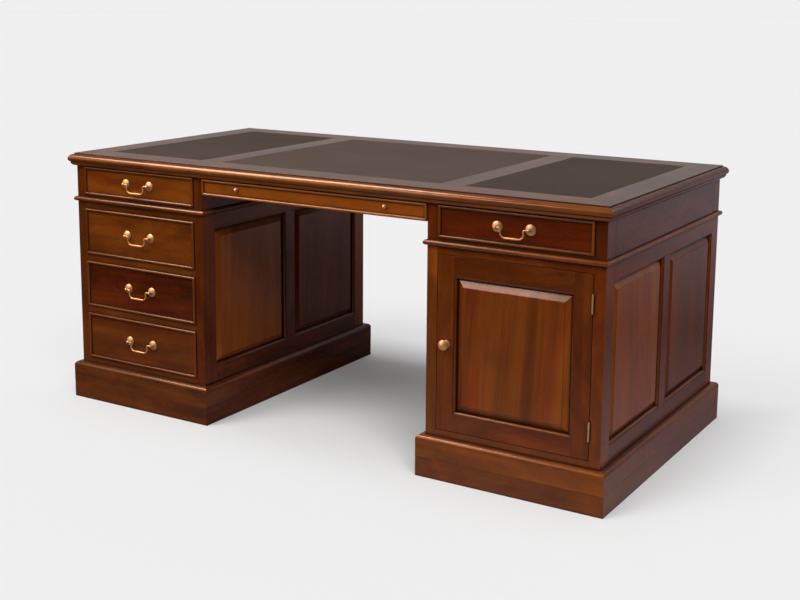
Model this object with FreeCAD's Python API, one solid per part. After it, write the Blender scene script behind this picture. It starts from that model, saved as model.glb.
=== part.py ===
import FreeCAD, Part
import math
import os

# A partners desk, in millimetres: two pedestals carry a frieze of shallow drawers and a top
# lined with three leathers. The origin is on the floor under the middle of the desk, with +X
# along the front to the sitter's right, +Y from front to back and +Z up. Two people face each
# other across it, so the back of the desk is its front turned half a turn about Z: each sitter
# has drawers in the pedestal on the left and a cupboard in the one on the right.

# ---- Whole desk ----
DESK_LENGTH = 1800.0
DESK_DEPTH = 900.0
DESK_HEIGHT = 780.0
PEDESTAL_WIDTH = 500.0
TOP_OVERHANG = 20.0        # tip of the top's edge beyond the frieze under it

# ---- Top ----
TOP_THICK = 26.0
BORDER_WIDTH = 100.0       # mitred border, from the tip of its edge to the leather
CROSS_WIDTH = 75.0         # rails between the leathers
CROSS_SETBACK = 10.0       # cross rail's inner edge, inside the line of the kneehole
LEATHER_THICK = 2.0
EDGE_FOOT_OUT = 16.0       # lower arris of the edge, out from the frieze
EDGE_BELLY = (19.0, 3.6)   # out from the frieze, and up from the underside
EDGE_TIP_UP = 8.0
EDGE_SHOULDER = (16.3, 17.2)
EDGE_LEDGE_OUT = 6.8       # foot of the step above the ovolo
EDGE_STEP = 3.6
EDGE_ARRIS_OUT = 5.0

# ---- Band under the edge of the top ----
BAND_HEIGHT = 13.0
BAND_FOOT_OUT = 2.0
BAND_OUT = 14.0
BAND_ROUND = 11.0          # height of its rounded part

# ---- Frieze ----
FRIEZE_HEIGHT = 97.0       # seen between the band and the waist moulding
FRIEZE_SILL = 8.0          # rail and dust board under the frieze drawers
CENTRE_FRONT = 50.0        # height of the opening over the kneehole
BEARER_WIDTH = 22.0        # strips that carry the centre drawers
BEARER_HEIGHT = 12.0

# ---- Waist moulding ----
WAIST_HEIGHT = 14.0
WAIST_FLAT = 2.4           # straight part behind the half round

# ---- Pedestals ----
POST_FACE = 31.0           # corner post, seen from the front
POST_SIDE = 53.0           # corner post, seen from the side
FRAME_THICK = 22.0         # side rails, muntins and the doors
MUNTIN_WIDTH = 46.0
SIDE_TOP_RAIL = 45.0
SIDE_BOTTOM_RAIL = 48.0
TOP_RAIL = 20.0
BOTTOM_RAIL = 19.0
DRAWER_RAIL = 21.0         # rail between two drawers
RAIL_DEPTH = 53.0
DRAWER_ROWS = 3
PARTITION_THICK = 15.0     # upright board between the two sitters' halves
RUNNER_WIDTH = 30.0
GUIDE_HEIGHT = 20.0
SHELF_THICK = 16.0
SHELF_GAP = 0.5
CLEAT_WIDTH = 16.0
CLEAT_HEIGHT = 22.0

# ---- Plinths ----
PLINTH_HEIGHT = 114.0
PLINTH_OUT = 20.0
PLINTH_IN = 16.0           # how far the boards run in under the posts
PLINTH_SEAM = 56.0         # joint between the lower and the upper board
PLINTH_NOSE = 12.0
BLOCK_LEG = 70.0           # glue blocks in the plinth's corners
BLOCK_LIFT = 20.0

# ---- Raised and fielded panels ----
GROOVE_DEPTH = 8.0
PANEL_SHRINK = 1.0         # room at the bottom of the groove
PANEL_PLAY = 0.1           # room each side of the tongue
TONGUE_FRONT = 12.5        # depths behind the face of the frame
PANEL_BACK = 17.5
FIELD_BACK = 1.5
FIELD_STEP = 0.8
FIELD_INSET = 27.0         # from the edge of the opening to the raised field
MOULD_WIDTH = 7.0
MOULD_FILLET = 1.2
MOULD_LIP = 2.5            # thin edge left where the moulding meets the panel

# ---- Drawers ----
FRONT_THICK = 20.0
FRONT_LAP = 6.0            # wood left in front of the dovetails
LINING_THICK = 12.0        # drawer sides and backs
LINING_DROP = 6.0          # their top edges, below the top of the front
BOTTOM_THICK = 6.0
BOTTOM_LIFT = 6.0
BEAD_WIDTH = 8.0
BEAD_OUT = 5.5
TAIL_PITCH = 40.0          # about one dovetail for each such height
TAIL_SHARE = 0.62          # of the pitch taken by the tail's wide end
TAIL_SLOPE = 1.0 / 7.0
RUN_GAP = 0.3              # under a drawer, on its runner
SIDE_GAP = 1.0             # each side of a drawer
TOP_GAP = 1.2
END_GAP = 0.8              # behind a drawer

# ---- Doors ----
DOOR_GAP = 1.5
DOOR_STILE = 48.0
DOOR_TOP_RAIL = 54.0
DOOR_BOTTOM_RAIL = 48.0
DOOR_KNOB_IN = 28.0        # knob's middle, from the edge of the door

# ---- Butt hinges ----
HINGE_LENGTH = 50.0
HINGE_INSET = 76.0         # from the end of the door opening to the hinge's middle
BARREL_RADIUS = 2.5
BARREL_CLEAR = 0.4         # between the barrel and the wood behind it
LEAF_THICK = 1.2
LEAF_GAP = 0.4             # between the two closed leaves
LEAF_DEPTH = 17.0
LEAF_FIT = 0.1             # leaf in its recess
KNUCKLES = 5
KNUCKLE_GAP = 0.3
PIN_RADIUS = 1.3
PIN_FIT = 0.06

# ---- Swan-neck handles ----
HANDLE_RISE = 2.5          # centre of the posts above the middle of the drawer
HANDLE_CENTRES = 93.0
ROSETTE_RADIUS = 14.5
ROSETTE_RIM = 1.4
ROSETTE_HEIGHT = 7.0
POST_NECK_RADIUS = 3.0
BALL_OUT = 13.0            # centre of the ball in front of the drawer
BALL_RADIUS = 4.6
SHANK_RADIUS = 2.2
SHANK_FIT = 0.2
NUT_FLATS = 3.4            # across the flats, against the shank's radius
NUT_THICK = 1.45           # thickness, against the shank's radius
SHANK_SPARE = 1.2          # shank beyond its nut
BAIL_RADIUS = 2.1
BAIL_SWELL = 2.9           # radius at the middle of the grip
BAIL_SWELL_HALF = 6.0      # half length of that fuller part
BAIL_NECK_X = 30.5         # half widths of the bail where it turns
BAIL_GRIP_X = 36.0
BAIL_DROP = 25.0
BAIL_NECK_BEND = 4.6
BAIL_GRIP_BEND = 14.0
BAIL_PIN_RADIUS = 1.9
BAIL_PIN_FIT = 0.07
BAIL_PIN_REACH = 2.8       # pin beyond the middle of the ball
BAIL_SHOULDER_GAP = 0.4

# ---- Knobs ----
KNOB_INSET = 130.0         # centre drawer's knobs, from the end of its opening
KNOB_SCALE = 0.42          # the small knobs, against the one on a door
KNOB_COLLAR = (11.0, 3.0)  # radius and height
KNOB_NECK = 5.5
KNOB_HEAD = 14.0           # radius at its widest
KNOB_WIDEST_UP = 18.5
KNOB_ROUND = 6.5           # rounding under the widest part
KNOB_HEIGHT = 27.0
KNOB_SHANK = 3.0

# ---- Places that follow from the sizes ----
OUTER_X = DESK_LENGTH / 2 - TOP_OVERHANG
INNER_X = OUTER_X - PEDESTAL_WIDTH
HALF_Y = DESK_DEPTH / 2 - TOP_OVERHANG
HALF_PED = PEDESTAL_WIDTH / 2
PED_X = INNER_X + HALF_PED
HALF_OPEN = HALF_PED - POST_FACE
RAIL_Y = HALF_Y - RAIL_DEPTH
POST_Y = HALF_Y - POST_SIDE
HALF_WALL = PARTITION_THICK / 2
SLAB_Z = DESK_HEIGHT - TOP_THICK
BAND_Z = SLAB_Z - BAND_HEIGHT
FRIEZE_Z = BAND_Z - FRIEZE_HEIGHT
SILL_Z = FRIEZE_Z + FRIEZE_SILL
CENTRE_Z = BAND_Z - CENTRE_FRONT
CAP_Z = FRIEZE_Z - WAIST_HEIGHT
OPEN_LOW = PLINTH_HEIGHT + BOTTOM_RAIL
OPEN_HIGH = CAP_Z - TOP_RAIL
ROW_HEIGHT = (OPEN_HIGH - OPEN_LOW - (DRAWER_ROWS - 1) * DRAWER_RAIL) / DRAWER_ROWS
DRAWER_DEPTH = HALF_Y - HALF_WALL - END_GAP
HINGE_X = HALF_OPEN - DOOR_GAP / 2
HINGE_Y = -HALF_Y - BARREL_RADIUS - BARREL_CLEAR

RIGHT = FreeCAD.Vector(1, 0, 0)
AWAY = FreeCAD.Vector(0, 1, 0)
UP = FreeCAD.Vector(0, 0, 1)
ORIGIN = FreeCAD.Vector(0, 0, 0)
SPARE = 1.0                # how far a cutting solid passes the wood it cuts


# ---- Shaping ----

def board(x, y, z):
    """A board from the low and high ends it has along each axis."""
    return Part.makeBox(x[1] - x[0], y[1] - y[0], z[1] - z[0], FreeCAD.Vector(x[0], y[0], z[0]))


def drawn_point(point):
    """A point of a drawn section: (out, up), with out towards -Y."""
    return FreeCAD.Vector(0, -point[0], point[1])


def section(start, *steps):
    """A flat face in the YZ plane. A step is a point, or two points for an arc through the first."""
    edges = []
    here = drawn_point(start)
    for step in steps:
        if isinstance(step[0], tuple):
            end = drawn_point(step[1])
            edges.append(Part.Arc(here, drawn_point(step[0]), end).toShape())
        else:
            end = drawn_point(step)
            edges.append(Part.makeLine(here, end))
        here = end
    edges.append(Part.makeLine(here, drawn_point(start)))
    return Part.Face(Part.Wire(edges))


def domed(edge, top):
    """The arc step from edge to top, on a sphere whose centre is on the axis turned about."""
    centre = ((top[0] ** 2 + top[1] ** 2 - edge[0] ** 2 - edge[1] ** 2)
              / (2 * (top[1] - edge[1])))
    radius = math.hypot(edge[0], edge[1] - centre)
    angle = (math.atan2(edge[0], edge[1] - centre) + math.atan2(top[0], top[1] - centre)) / 2
    return (radius * math.sin(angle), centre + radius * math.cos(angle)), top


def turned(profile):
    """A profile of (radius, up) turned about Z."""
    return profile.revolve(ORIGIN, UP, 360)


def prism(corners, low, high):
    """A straight prism on an outline of (x, y) corners."""
    points = [FreeCAD.Vector(x, y, low) for x, y in corners]
    face = Part.Face(Part.makePolygon(points + points[:1]))
    return face.extrude(UP * (high - low))


def mitred_lengths(profile, half_x, half_y):
    """Four lengths of a moulding, mitred round a rectangle in the XY plane."""
    box = profile.BoundBox
    reach = SPARE + max(0.0, -box.YMin)
    inset = SPARE + max(0.0, box.YMax)
    lengths = []
    for turn in range(4):
        along, across = (half_x, half_y) if turn % 2 == 0 else (half_y, half_x)
        bar = profile.copy()
        bar.translate(FreeCAD.Vector(-along - reach, -across, 0))
        bar = bar.extrude(RIGHT * (2 * (along + reach)))
        far, near = along + reach, along - inset
        corners = [(-far, -across - reach), (far, -across - reach),
                   (near, -across + inset), (-near, -across + inset)]
        length = bar.common(prism(corners, box.ZMin - SPARE, box.ZMax + SPARE)).Solids[0]
        length.rotate(ORIGIN, UP, 90 * turn)
        lengths.append(length)
    return lengths


def moved(shapes, x=0.0, y=0.0, z=0.0):
    """Copies of some shapes, shifted."""
    copies = [shape.copy() for shape in shapes]
    for shape in copies:
        shape.translate(FreeCAD.Vector(x, y, z))
    return copies


def half_turned(shapes):
    """Copies of some shapes, turned half a turn about Z."""
    copies = [shape.copy() for shape in shapes]
    for shape in copies:
        shape.rotate(ORIGIN, UP, 180)
    return copies


def stood(shapes, origin, right=RIGHT):
    """Shapes drawn flat, with Z towards the viewer, stood upright on a face at origin."""
    out = right.cross(UP)
    matrix = FreeCAD.Matrix(right.x, 0, out.x, origin.x, right.y, 0, out.y, origin.y,
                            right.z, 1, out.z, origin.z, 0, 0, 0, 1)
    copies = [shape.copy() for shape in shapes]
    for shape in copies:
        shape.Placement = FreeCAD.Placement(matrix).multiply(shape.Placement)
    return copies


def pared(boards, cutters):
    """Boards with grooves, recesses or holes cut in them."""
    waste = Part.makeCompound(cutters)
    return [wood.cut(waste).Solids[0] for wood in boards]


def rounded_path(points, bends):
    """A wire through points, with an arc of the given radius at each inner one."""
    edges = []
    here = points[0]
    for before, corner, after, bend in zip(points, points[1:], points[2:], bends):
        back = (before - corner).normalize()
        ahead = (after - corner).normalize()
        half_angle = back.getAngle(ahead) / 2
        start = corner + back * (bend / math.tan(half_angle))
        end = corner + ahead * (bend / math.tan(half_angle))
        inward = (back + ahead).normalize()
        middle = corner + inward * (bend / math.sin(half_angle) - bend)
        edges.append(Part.makeLine(here, start))
        edges.append(Part.Arc(start, middle, end).toShape())
        here = end
    edges.append(Part.makeLine(here, points[-1]))
    return Part.Wire(edges)


def write(node, solids):
    """Write the solids of one node."""
    Part.makeCompound(solids).exportStep("parts/" + node + ".step")


# ---- Top ----

def top_border():
    """Four mitred boards round the top, with a stepped ovolo edge."""
    tip = (TOP_OVERHANG, SLAB_Z + EDGE_TIP_UP)
    belly = (EDGE_BELLY[0], SLAB_Z + EDGE_BELLY[1])
    shoulder = (EDGE_SHOULDER[0], SLAB_Z + EDGE_SHOULDER[1])
    inner = TOP_OVERHANG - BORDER_WIDTH
    step_z = DESK_HEIGHT - EDGE_STEP
    profile = section((inner, SLAB_Z), (EDGE_FOOT_OUT, SLAB_Z), (belly, tip),
                      (shoulder, (EDGE_LEDGE_OUT, step_z)), (EDGE_ARRIS_OUT, step_z),
                      (EDGE_ARRIS_OUT, DESK_HEIGHT), (inner, DESK_HEIGHT))
    return mitred_lengths(profile, OUTER_X, HALF_Y)


def leather_fields():
    """The x limits of the three leathers, and the y limits that they share."""
    cross_low = INNER_X - CROSS_SETBACK
    cross_high = cross_low + CROSS_WIDTH
    end_x = DESK_LENGTH / 2 - BORDER_WIDTH
    end_y = DESK_DEPTH / 2 - BORDER_WIDTH
    spans = ((-end_x, -cross_high), (-cross_low, cross_low), (cross_high, end_x))
    return spans, (-end_y, end_y)


def top_frame():
    """The mitred border and the two cross rails."""
    spans, y = leather_fields()
    cross_rails = [board((left[1], right[0]), y, (SLAB_Z, DESK_HEIGHT))
                   for left, right in zip(spans, spans[1:])]
    return top_border() + cross_rails


def top_boards():
    """The boards that the leathers are laid on."""
    spans, y = leather_fields()
    return [board(x, y, (SLAB_Z, DESK_HEIGHT - LEATHER_THICK)) for x in spans]


def top_leathers():
    """Three sheets of leather, let in flush with the frame round them."""
    spans, y = leather_fields()
    return [board(x, y, (DESK_HEIGHT - LEATHER_THICK, DESK_HEIGHT)) for x in spans]


def top_band():
    """A small rounded moulding on the frieze, under the edge of the top."""
    round_top = BAND_Z + BAND_ROUND
    slant = math.sqrt(0.5)
    middle = (BAND_FOOT_OUT + (BAND_OUT - BAND_FOOT_OUT) * slant, round_top - BAND_ROUND * slant)
    profile = section((0.0, BAND_Z), (BAND_FOOT_OUT, BAND_Z), (middle, (BAND_OUT, round_top)),
                      (BAND_OUT, SLAB_Z), (0.0, SLAB_Z))
    return mitred_lengths(profile, OUTER_X, HALF_Y)


# ---- Frieze ----

def corner_posts(low, high):
    """The four corner posts of a pedestal or of the frieze over it."""
    return [board(x, y, (low, high))
            for x in ((-HALF_PED, -HALF_OPEN), (HALF_OPEN, HALF_PED))
            for y in ((-HALF_Y, -POST_Y), (POST_Y, HALF_Y))]


def frieze_box():
    """Posts, ends and rails of the frieze over one pedestal."""
    boards = corner_posts(FRIEZE_Z, SLAB_Z)
    for x in ((-HALF_PED, FRAME_THICK - HALF_PED), (HALF_PED - FRAME_THICK, HALF_PED)):
        boards.append(board(x, (-POST_Y, POST_Y), (FRIEZE_Z, SLAB_Z)))
    for y in ((-HALF_Y, -RAIL_Y), (RAIL_Y, HALF_Y)):
        boards.append(board((-HALF_OPEN, HALF_OPEN), y, (FRIEZE_Z, SILL_Z)))
        boards.append(board((-HALF_OPEN, HALF_OPEN), y, (BAND_Z, SLAB_Z)))
    return boards


def frieze_frame():
    """The frieze over both pedestals, and the two rails that join them over the kneehole."""
    boxes = moved(frieze_box(), x=-PED_X) + moved(frieze_box(), x=PED_X)
    rail = board((-INNER_X, INNER_X), (-HALF_Y, -RAIL_Y), (BAND_Z, SLAB_Z))
    return boxes + [rail] + half_turned([rail])


def frieze_inside():
    """Dust boards, partitions, drawer guides and the bearers of the centre drawers."""
    inner = HALF_PED - FRAME_THICK
    dust_board = board((-inner, inner), (-RAIL_Y, RAIL_Y), (FRIEZE_Z, SILL_Z))
    partition = board((-inner, inner), (-HALF_WALL, HALF_WALL), (SILL_Z, SLAB_Z))
    guides = [board(x, y, (SILL_Z, SILL_Z + GUIDE_HEIGHT))
              for x in ((-inner, -HALF_OPEN), (HALF_OPEN, inner))
              for y in ((-RAIL_Y, -HALF_WALL), (HALF_WALL, RAIL_Y))]
    over_pedestal = [dust_board, partition] + guides
    middle = board((-INNER_X, INNER_X), (-HALF_WALL, HALF_WALL), (CENTRE_Z, SLAB_Z))
    bearer_y = (-HALF_Y + FRONT_THICK + END_GAP, -HALF_WALL)
    bearers = [board(x, bearer_y, (CENTRE_Z, CENTRE_Z + BEARER_HEIGHT))
               for x in ((-INNER_X, BEARER_WIDTH - INNER_X), (INNER_X - BEARER_WIDTH, INNER_X))]
    return (moved(over_pedestal, x=-PED_X) + moved(over_pedestal, x=PED_X) + [middle]
            + bearers + half_turned(bearers))


# ---- Raised and fielded panels ----

def panel_step_section(half):
    """Section across a raised panel whose opening is 2 * half wide."""
    tongue = half + GROOVE_DEPTH - PANEL_SHRINK
    bevel_foot = half - MOULD_WIDTH
    field = half - FIELD_INSET
    return section((-tongue, -PANEL_BACK), (-tongue, -TONGUE_FRONT), (-bevel_foot, -TONGUE_FRONT),
                   (-field, -FIELD_BACK - FIELD_STEP), (-field, -FIELD_BACK), (field, -FIELD_BACK),
                   (field, -FIELD_BACK - FIELD_STEP), (bevel_foot, -TONGUE_FRONT),
                   (tongue, -TONGUE_FRONT), (tongue, -PANEL_BACK))


def fielded_panel(width, height):
    """A panel drawn flat, its bevels meeting at the corners as two crossed sections do."""
    reach = max(width, height)
    along = panel_step_section(height / 2).extrude(RIGHT * (2 * reach))
    along.translate(RIGHT * -reach)
    across = panel_step_section(width / 2).extrude(RIGHT * (2 * reach))
    across.translate(RIGHT * -reach)
    across.rotate(ORIGIN, UP, 90)
    return along.common(across).Solids[0]


def panel_groove(width, height):
    """The space that the panel's tongue has in the frame round it."""
    x = width / 2 + GROOVE_DEPTH
    y = height / 2 + GROOVE_DEPTH
    return board((-x, x), (-y, y), (-PANEL_BACK - PANEL_PLAY, -TONGUE_FRONT + PANEL_PLAY))


def panel_mouldings(width, height):
    """Four mitred lengths planted in the corner between the frame and the panel."""
    lip = MOULD_LIP - TONGUE_FRONT
    slant = math.sqrt(0.5)
    run = MOULD_WIDTH - MOULD_FILLET
    rise = -MOULD_FILLET - lip
    middle = (-MOULD_FILLET - run * slant, lip + rise * slant)
    profile = section((0.0, -TONGUE_FRONT), (0.0, 0.0), (-MOULD_FILLET, 0.0),
                      (-MOULD_FILLET, -MOULD_FILLET), (middle, (-MOULD_WIDTH, lip)),
                      (-MOULD_WIDTH, -TONGUE_FRONT))
    return mitred_lengths(profile, width / 2, height / 2)


# ---- Pedestals ----

def side_openings():
    """Width, height and middle height of a side panel, and how far along its middle is."""
    width = POST_Y - MUNTIN_WIDTH / 2
    low = PLINTH_HEIGHT + SIDE_BOTTOM_RAIL
    high = CAP_Z - SIDE_TOP_RAIL
    return width, high - low, (low + high) / 2, (MUNTIN_WIDTH + width) / 2


def on_sides(shapes):
    """Shapes drawn round a panel's middle, put at the four panels of a pedestal's sides."""
    middle_z, offset = side_openings()[2:]
    placed = []
    for right, x in ((AWAY, HALF_PED), (-AWAY, -HALF_PED)):
        for along in (-offset, offset):
            placed += stood(shapes, FreeCAD.Vector(x, right.y * along, middle_z), right)
    return placed


def row_floor(row):
    """Height of the bottom of a drawer opening, counted from the lowest."""
    return OPEN_LOW + row * (ROW_HEIGHT + DRAWER_RAIL)


def pedestal_frame():
    """Posts, side frames and rails: drawers face -Y and the door faces +Y."""
    boards = corner_posts(PLINTH_HEIGHT, CAP_Z)
    width, height, middle_z = side_openings()[:3]
    low, high = middle_z - height / 2, middle_z + height / 2
    for x in ((-HALF_PED, FRAME_THICK - HALF_PED), (HALF_PED - FRAME_THICK, HALF_PED)):
        boards.append(board(x, (-POST_Y, POST_Y), (PLINTH_HEIGHT, low)))
        boards.append(board(x, (-POST_Y, POST_Y), (high, CAP_Z)))
        boards.append(board(x, (-MUNTIN_WIDTH / 2, MUNTIN_WIDTH / 2), (low, high)))
    opening = (-HALF_OPEN, HALF_OPEN)
    for y in ((-HALF_Y, -RAIL_Y), (RAIL_Y, HALF_Y)):
        boards.append(board(opening, y, (PLINTH_HEIGHT, OPEN_LOW)))
        boards.append(board(opening, y, (OPEN_HIGH, CAP_Z)))
    for row in range(1, DRAWER_ROWS):
        floor = row_floor(row)
        boards.append(board(opening, (-HALF_Y, -RAIL_Y), (floor - DRAWER_RAIL, floor)))
    grooves = on_sides([panel_groove(width, height)])
    return pared(boards, grooves + half_turned(leaf_recesses(1)))


def pedestal_inside():
    """Bottom, cap, partition, runners and guides, and the cupboard's shelf on its cleats."""
    inner = HALF_PED - FRAME_THICK
    across = (-inner, inner)
    pieces = [board(across, (-RAIL_Y, RAIL_Y), (PLINTH_HEIGHT, OPEN_LOW)),
              board((-HALF_PED, HALF_PED), (-HALF_Y, HALF_Y), (CAP_Z, FRIEZE_Z)),
              board(across, (-HALF_WALL, HALF_WALL), (OPEN_LOW, CAP_Z))]
    run_y = (-RAIL_Y, -HALF_WALL)
    shelf_y = (HALF_WALL, RAIL_Y)
    shelf_z = (OPEN_LOW + OPEN_HIGH - SHELF_THICK) / 2
    for side in (-1, 1):
        wall, guide, runner, cleat = (side * x for x in (
            inner, HALF_OPEN, inner - RUNNER_WIDTH, inner - CLEAT_WIDTH))
        for row in range(DRAWER_ROWS):
            floor = row_floor(row)
            pieces.append(board(sorted((guide, wall)), run_y, (floor, floor + GUIDE_HEIGHT)))
            if row > 0:
                pieces.append(board(sorted((runner, wall)), run_y, (floor - DRAWER_RAIL, floor)))
        pieces.append(board(sorted((cleat, wall)), shelf_y, (shelf_z - CLEAT_HEIGHT, shelf_z)))
    pieces.append(board((SHELF_GAP - inner, inner - SHELF_GAP), shelf_y,
                        (shelf_z, shelf_z + SHELF_THICK)))
    return pieces


def plinth():
    """Two courses of mitred boards, the upper one with a rounded nose, and corner blocks."""
    lower = section((-PLINTH_IN, 0.0), (PLINTH_OUT, 0.0), (PLINTH_OUT, PLINTH_SEAM),
                    (-PLINTH_IN, PLINTH_SEAM))
    slant = PLINTH_NOSE * (1 - math.sqrt(0.5))
    nose = (PLINTH_OUT - slant, PLINTH_HEIGHT - slant)
    upper = section((-PLINTH_IN, PLINTH_SEAM), (PLINTH_OUT, PLINTH_SEAM),
                    (PLINTH_OUT, PLINTH_HEIGHT - PLINTH_NOSE),
                    (nose, (PLINTH_OUT - PLINTH_NOSE, PLINTH_HEIGHT)), (-PLINTH_IN, PLINTH_HEIGHT))
    blocks = []
    for side_x in (-1, 1):
        for side_y in (-1, 1):
            x = side_x * (HALF_PED - PLINTH_IN)
            y = side_y * (HALF_Y - PLINTH_IN)
            corners = [(x, y), (x - side_x * BLOCK_LEG, y), (x, y - side_y * BLOCK_LEG)]
            blocks.append(prism(corners, BLOCK_LIFT, PLINTH_HEIGHT))
    return (mitred_lengths(lower, HALF_PED, HALF_Y) + mitred_lengths(upper, HALF_PED, HALF_Y)
            + blocks)


def waist_moulding():
    """A half-round moulding on the edges of a pedestal's cap."""
    radius = WAIST_HEIGHT / 2
    profile = section((0.0, CAP_Z), (WAIST_FLAT, CAP_Z),
                      ((WAIST_FLAT + radius, CAP_Z + radius), (WAIST_FLAT, FRIEZE_Z)),
                      (0.0, FRIEZE_Z))
    return mitred_lengths(profile, HALF_PED, HALF_Y)


# ---- Drawers ----

def dovetails(side, low, high, root, tip):
    """Tails on one end of a drawer side, from its shoulder at root to their wide ends at tip."""
    count = max(1, round((high - low) / TAIL_PITCH))
    pitch = (high - low) / count
    half_tip = pitch * TAIL_SHARE / 2
    half_root = half_tip - abs(tip - root) * TAIL_SLOPE
    outer, inner = side
    tails = []
    for tail in range(count):
        middle = low + (tail + 0.5) * pitch
        corners = [(root, middle - half_root), (root, middle + half_root),
                   (tip, middle + half_tip), (tip, middle - half_tip)]
        points = [FreeCAD.Vector(outer, y, z) for y, z in corners]
        face = Part.Face(Part.makePolygon(points + points[:1]))
        tails.append(face.extrude(RIGHT * (inner - outer)))
    return tails


def drawer(width, height, lift, holes, hole_radius):
    """A drawer for an opening whose face is at y = 0 and whose floor is at z = 0.

    Its front fills the opening. Its sides start lift above the floor of the opening, and are
    dovetailed into the front and the back. Holes are (x, z) places in the front.
    """
    half = width / 2 - SIDE_GAP
    front_z = (RUN_GAP, height - TOP_GAP)
    lining_z = (lift + RUN_GAP, front_z[1] - LINING_DROP)
    bottom_z = (lining_z[0] + BOTTOM_LIFT, lining_z[0] + BOTTOM_LIFT + BOTTOM_THICK)
    back_y = (DRAWER_DEPTH - LINING_THICK, DRAWER_DEPTH)
    back_z = (bottom_z[1], lining_z[1])
    sides, tails = [], []
    for side in ((-half, LINING_THICK - half), (half, half - LINING_THICK)):
        front_tails = dovetails(side, *lining_z, FRONT_THICK, FRONT_LAP)
        back_tails = dovetails(side, *back_z, *back_y)
        plank = board(sorted(side), (FRONT_THICK, back_y[0]), lining_z)
        heel = board(sorted(side), back_y, (lining_z[0], back_z[0]))
        sides.append(plank.fuse(front_tails + back_tails + [heel]).removeSplitter().Solids[0])
        tails += front_tails + back_tails
    drills = [Part.makeCylinder(hole_radius, FRONT_THICK + 2 * SPARE,
                                FreeCAD.Vector(x, -SPARE, z), AWAY) for x, z in holes]
    front = board((-half, half), (0.0, FRONT_THICK), front_z)
    back = board((-half, half), back_y, back_z)
    front, back = pared([front, back], tails + drills)
    bottom = board((LINING_THICK - half, half - LINING_THICK),
                   (FRONT_THICK, DRAWER_DEPTH), bottom_z)
    radius = BEAD_WIDTH / 2
    bead = section((0.0, 0.0), (0.0, BEAD_OUT - radius),
                   ((-radius, BEAD_OUT), (-BEAD_WIDTH, BEAD_OUT - radius)), (-BEAD_WIDTH, 0.0))
    beads = mitred_lengths(bead, half, (front_z[1] - front_z[0]) / 2)
    beads = stood(beads, FreeCAD.Vector(0, 0, sum(front_z) / 2))
    return [front, back, bottom] + sides + beads


# ---- Handles and knobs: drawn flat, with Z out of the wood ----

def hex_nut(shank, wood):
    """A nut on the end of a shank, behind wood of this thickness."""
    low = -wood - NUT_THICK * shank
    corner = NUT_FLATS * shank / math.sqrt(3)
    nut = prism([(corner * math.cos(turn * math.pi / 3), corner * math.sin(turn * math.pi / 3))
                 for turn in range(6)], low, -wood)
    bore = Part.makeCylinder(shank, -wood - low + 2 * SPARE, UP * (low - SPARE))
    return nut.cut(bore).Solids[0]


def handle_post():
    """A domed rosette, the ball post through it and the nut inside the drawer."""
    bore = SHANK_RADIUS + SHANK_FIT
    rim, crown = (ROSETTE_RADIUS, ROSETTE_RIM), (POST_NECK_RADIUS, ROSETTE_HEIGHT)
    rosette = turned(section((bore, 0.0), (ROSETTE_RADIUS, 0.0), rim, domed(rim, crown),
                             (bore, ROSETTE_HEIGHT)))
    shank_end = -FRONT_THICK - NUT_THICK * SHANK_RADIUS - SHANK_SPARE
    meet = BALL_OUT - math.sqrt(BALL_RADIUS ** 2 - POST_NECK_RADIUS ** 2)
    post = turned(section((0.0, shank_end), (SHANK_RADIUS, shank_end),
                          (SHANK_RADIUS, ROSETTE_HEIGHT), (POST_NECK_RADIUS, ROSETTE_HEIGHT),
                          (POST_NECK_RADIUS, meet),
                          ((BALL_RADIUS, BALL_OUT), (0.0, BALL_OUT + BALL_RADIUS))))
    return [rosette, post, hex_nut(SHANK_RADIUS, FRONT_THICK)]


def handle_posts():
    """Both posts of a handle, each ball bored from its inner side for the bail's pin."""
    half = HANDLE_CENTRES / 2
    pieces = []
    for side in (-1, 1):
        rosette, post, nut = moved(handle_post(), x=side * half)
        start = side * (half - BALL_RADIUS - SPARE)
        length = BALL_RADIUS + SPARE + BAIL_PIN_REACH + BAIL_SHOULDER_GAP
        bore = Part.makeCylinder(BAIL_PIN_RADIUS + BAIL_PIN_FIT, length,
                                 FreeCAD.Vector(start, 0, BALL_OUT), RIGHT * side)
        pieces += [rosette, post.cut(bore).Solids[0], nut]
    return pieces


def bail():
    """The swinging grip: a bent rod, fuller in the middle, with a pin at each end."""
    half = HANDLE_CENTRES / 2
    shoulder = half - BALL_RADIUS - BAIL_SHOULDER_GAP
    corners = [(-shoulder, 0.0), (-BAIL_NECK_X, 0.0), (-BAIL_GRIP_X, -BAIL_DROP),
               (BAIL_GRIP_X, -BAIL_DROP), (BAIL_NECK_X, 0.0), (shoulder, 0.0)]
    points = [FreeCAD.Vector(x, y, BALL_OUT) for x, y in corners]
    path = rounded_path(points, (BAIL_NECK_BEND, BAIL_GRIP_BEND, BAIL_GRIP_BEND, BAIL_NECK_BEND))
    ring = Part.Wire(Part.makeCircle(BAIL_RADIUS, points[0], RIGHT))
    rod = path.makePipeShell([ring], True, False)
    grip_end = BAIL_GRIP_X - BAIL_GRIP_BEND
    swell = turned(section((0.0, -grip_end), (BAIL_RADIUS, -grip_end),
                           (BAIL_SWELL, -BAIL_SWELL_HALF), (BAIL_SWELL, BAIL_SWELL_HALF),
                           (BAIL_RADIUS, grip_end), (0.0, grip_end)))
    swell.rotate(ORIGIN, AWAY, 90)
    swell.translate(FreeCAD.Vector(0, -BAIL_DROP, BALL_OUT))
    pins = []
    for side in (-1, 1):
        length = half + BAIL_PIN_REACH - shoulder + SPARE
        start = FreeCAD.Vector(side * (shoulder - SPARE), 0, BALL_OUT)
        pins.append(Part.makeCylinder(BAIL_PIN_RADIUS, length, start, RIGHT * side))
    return rod.fuse([swell] + pins).removeSplitter().Solids


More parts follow.
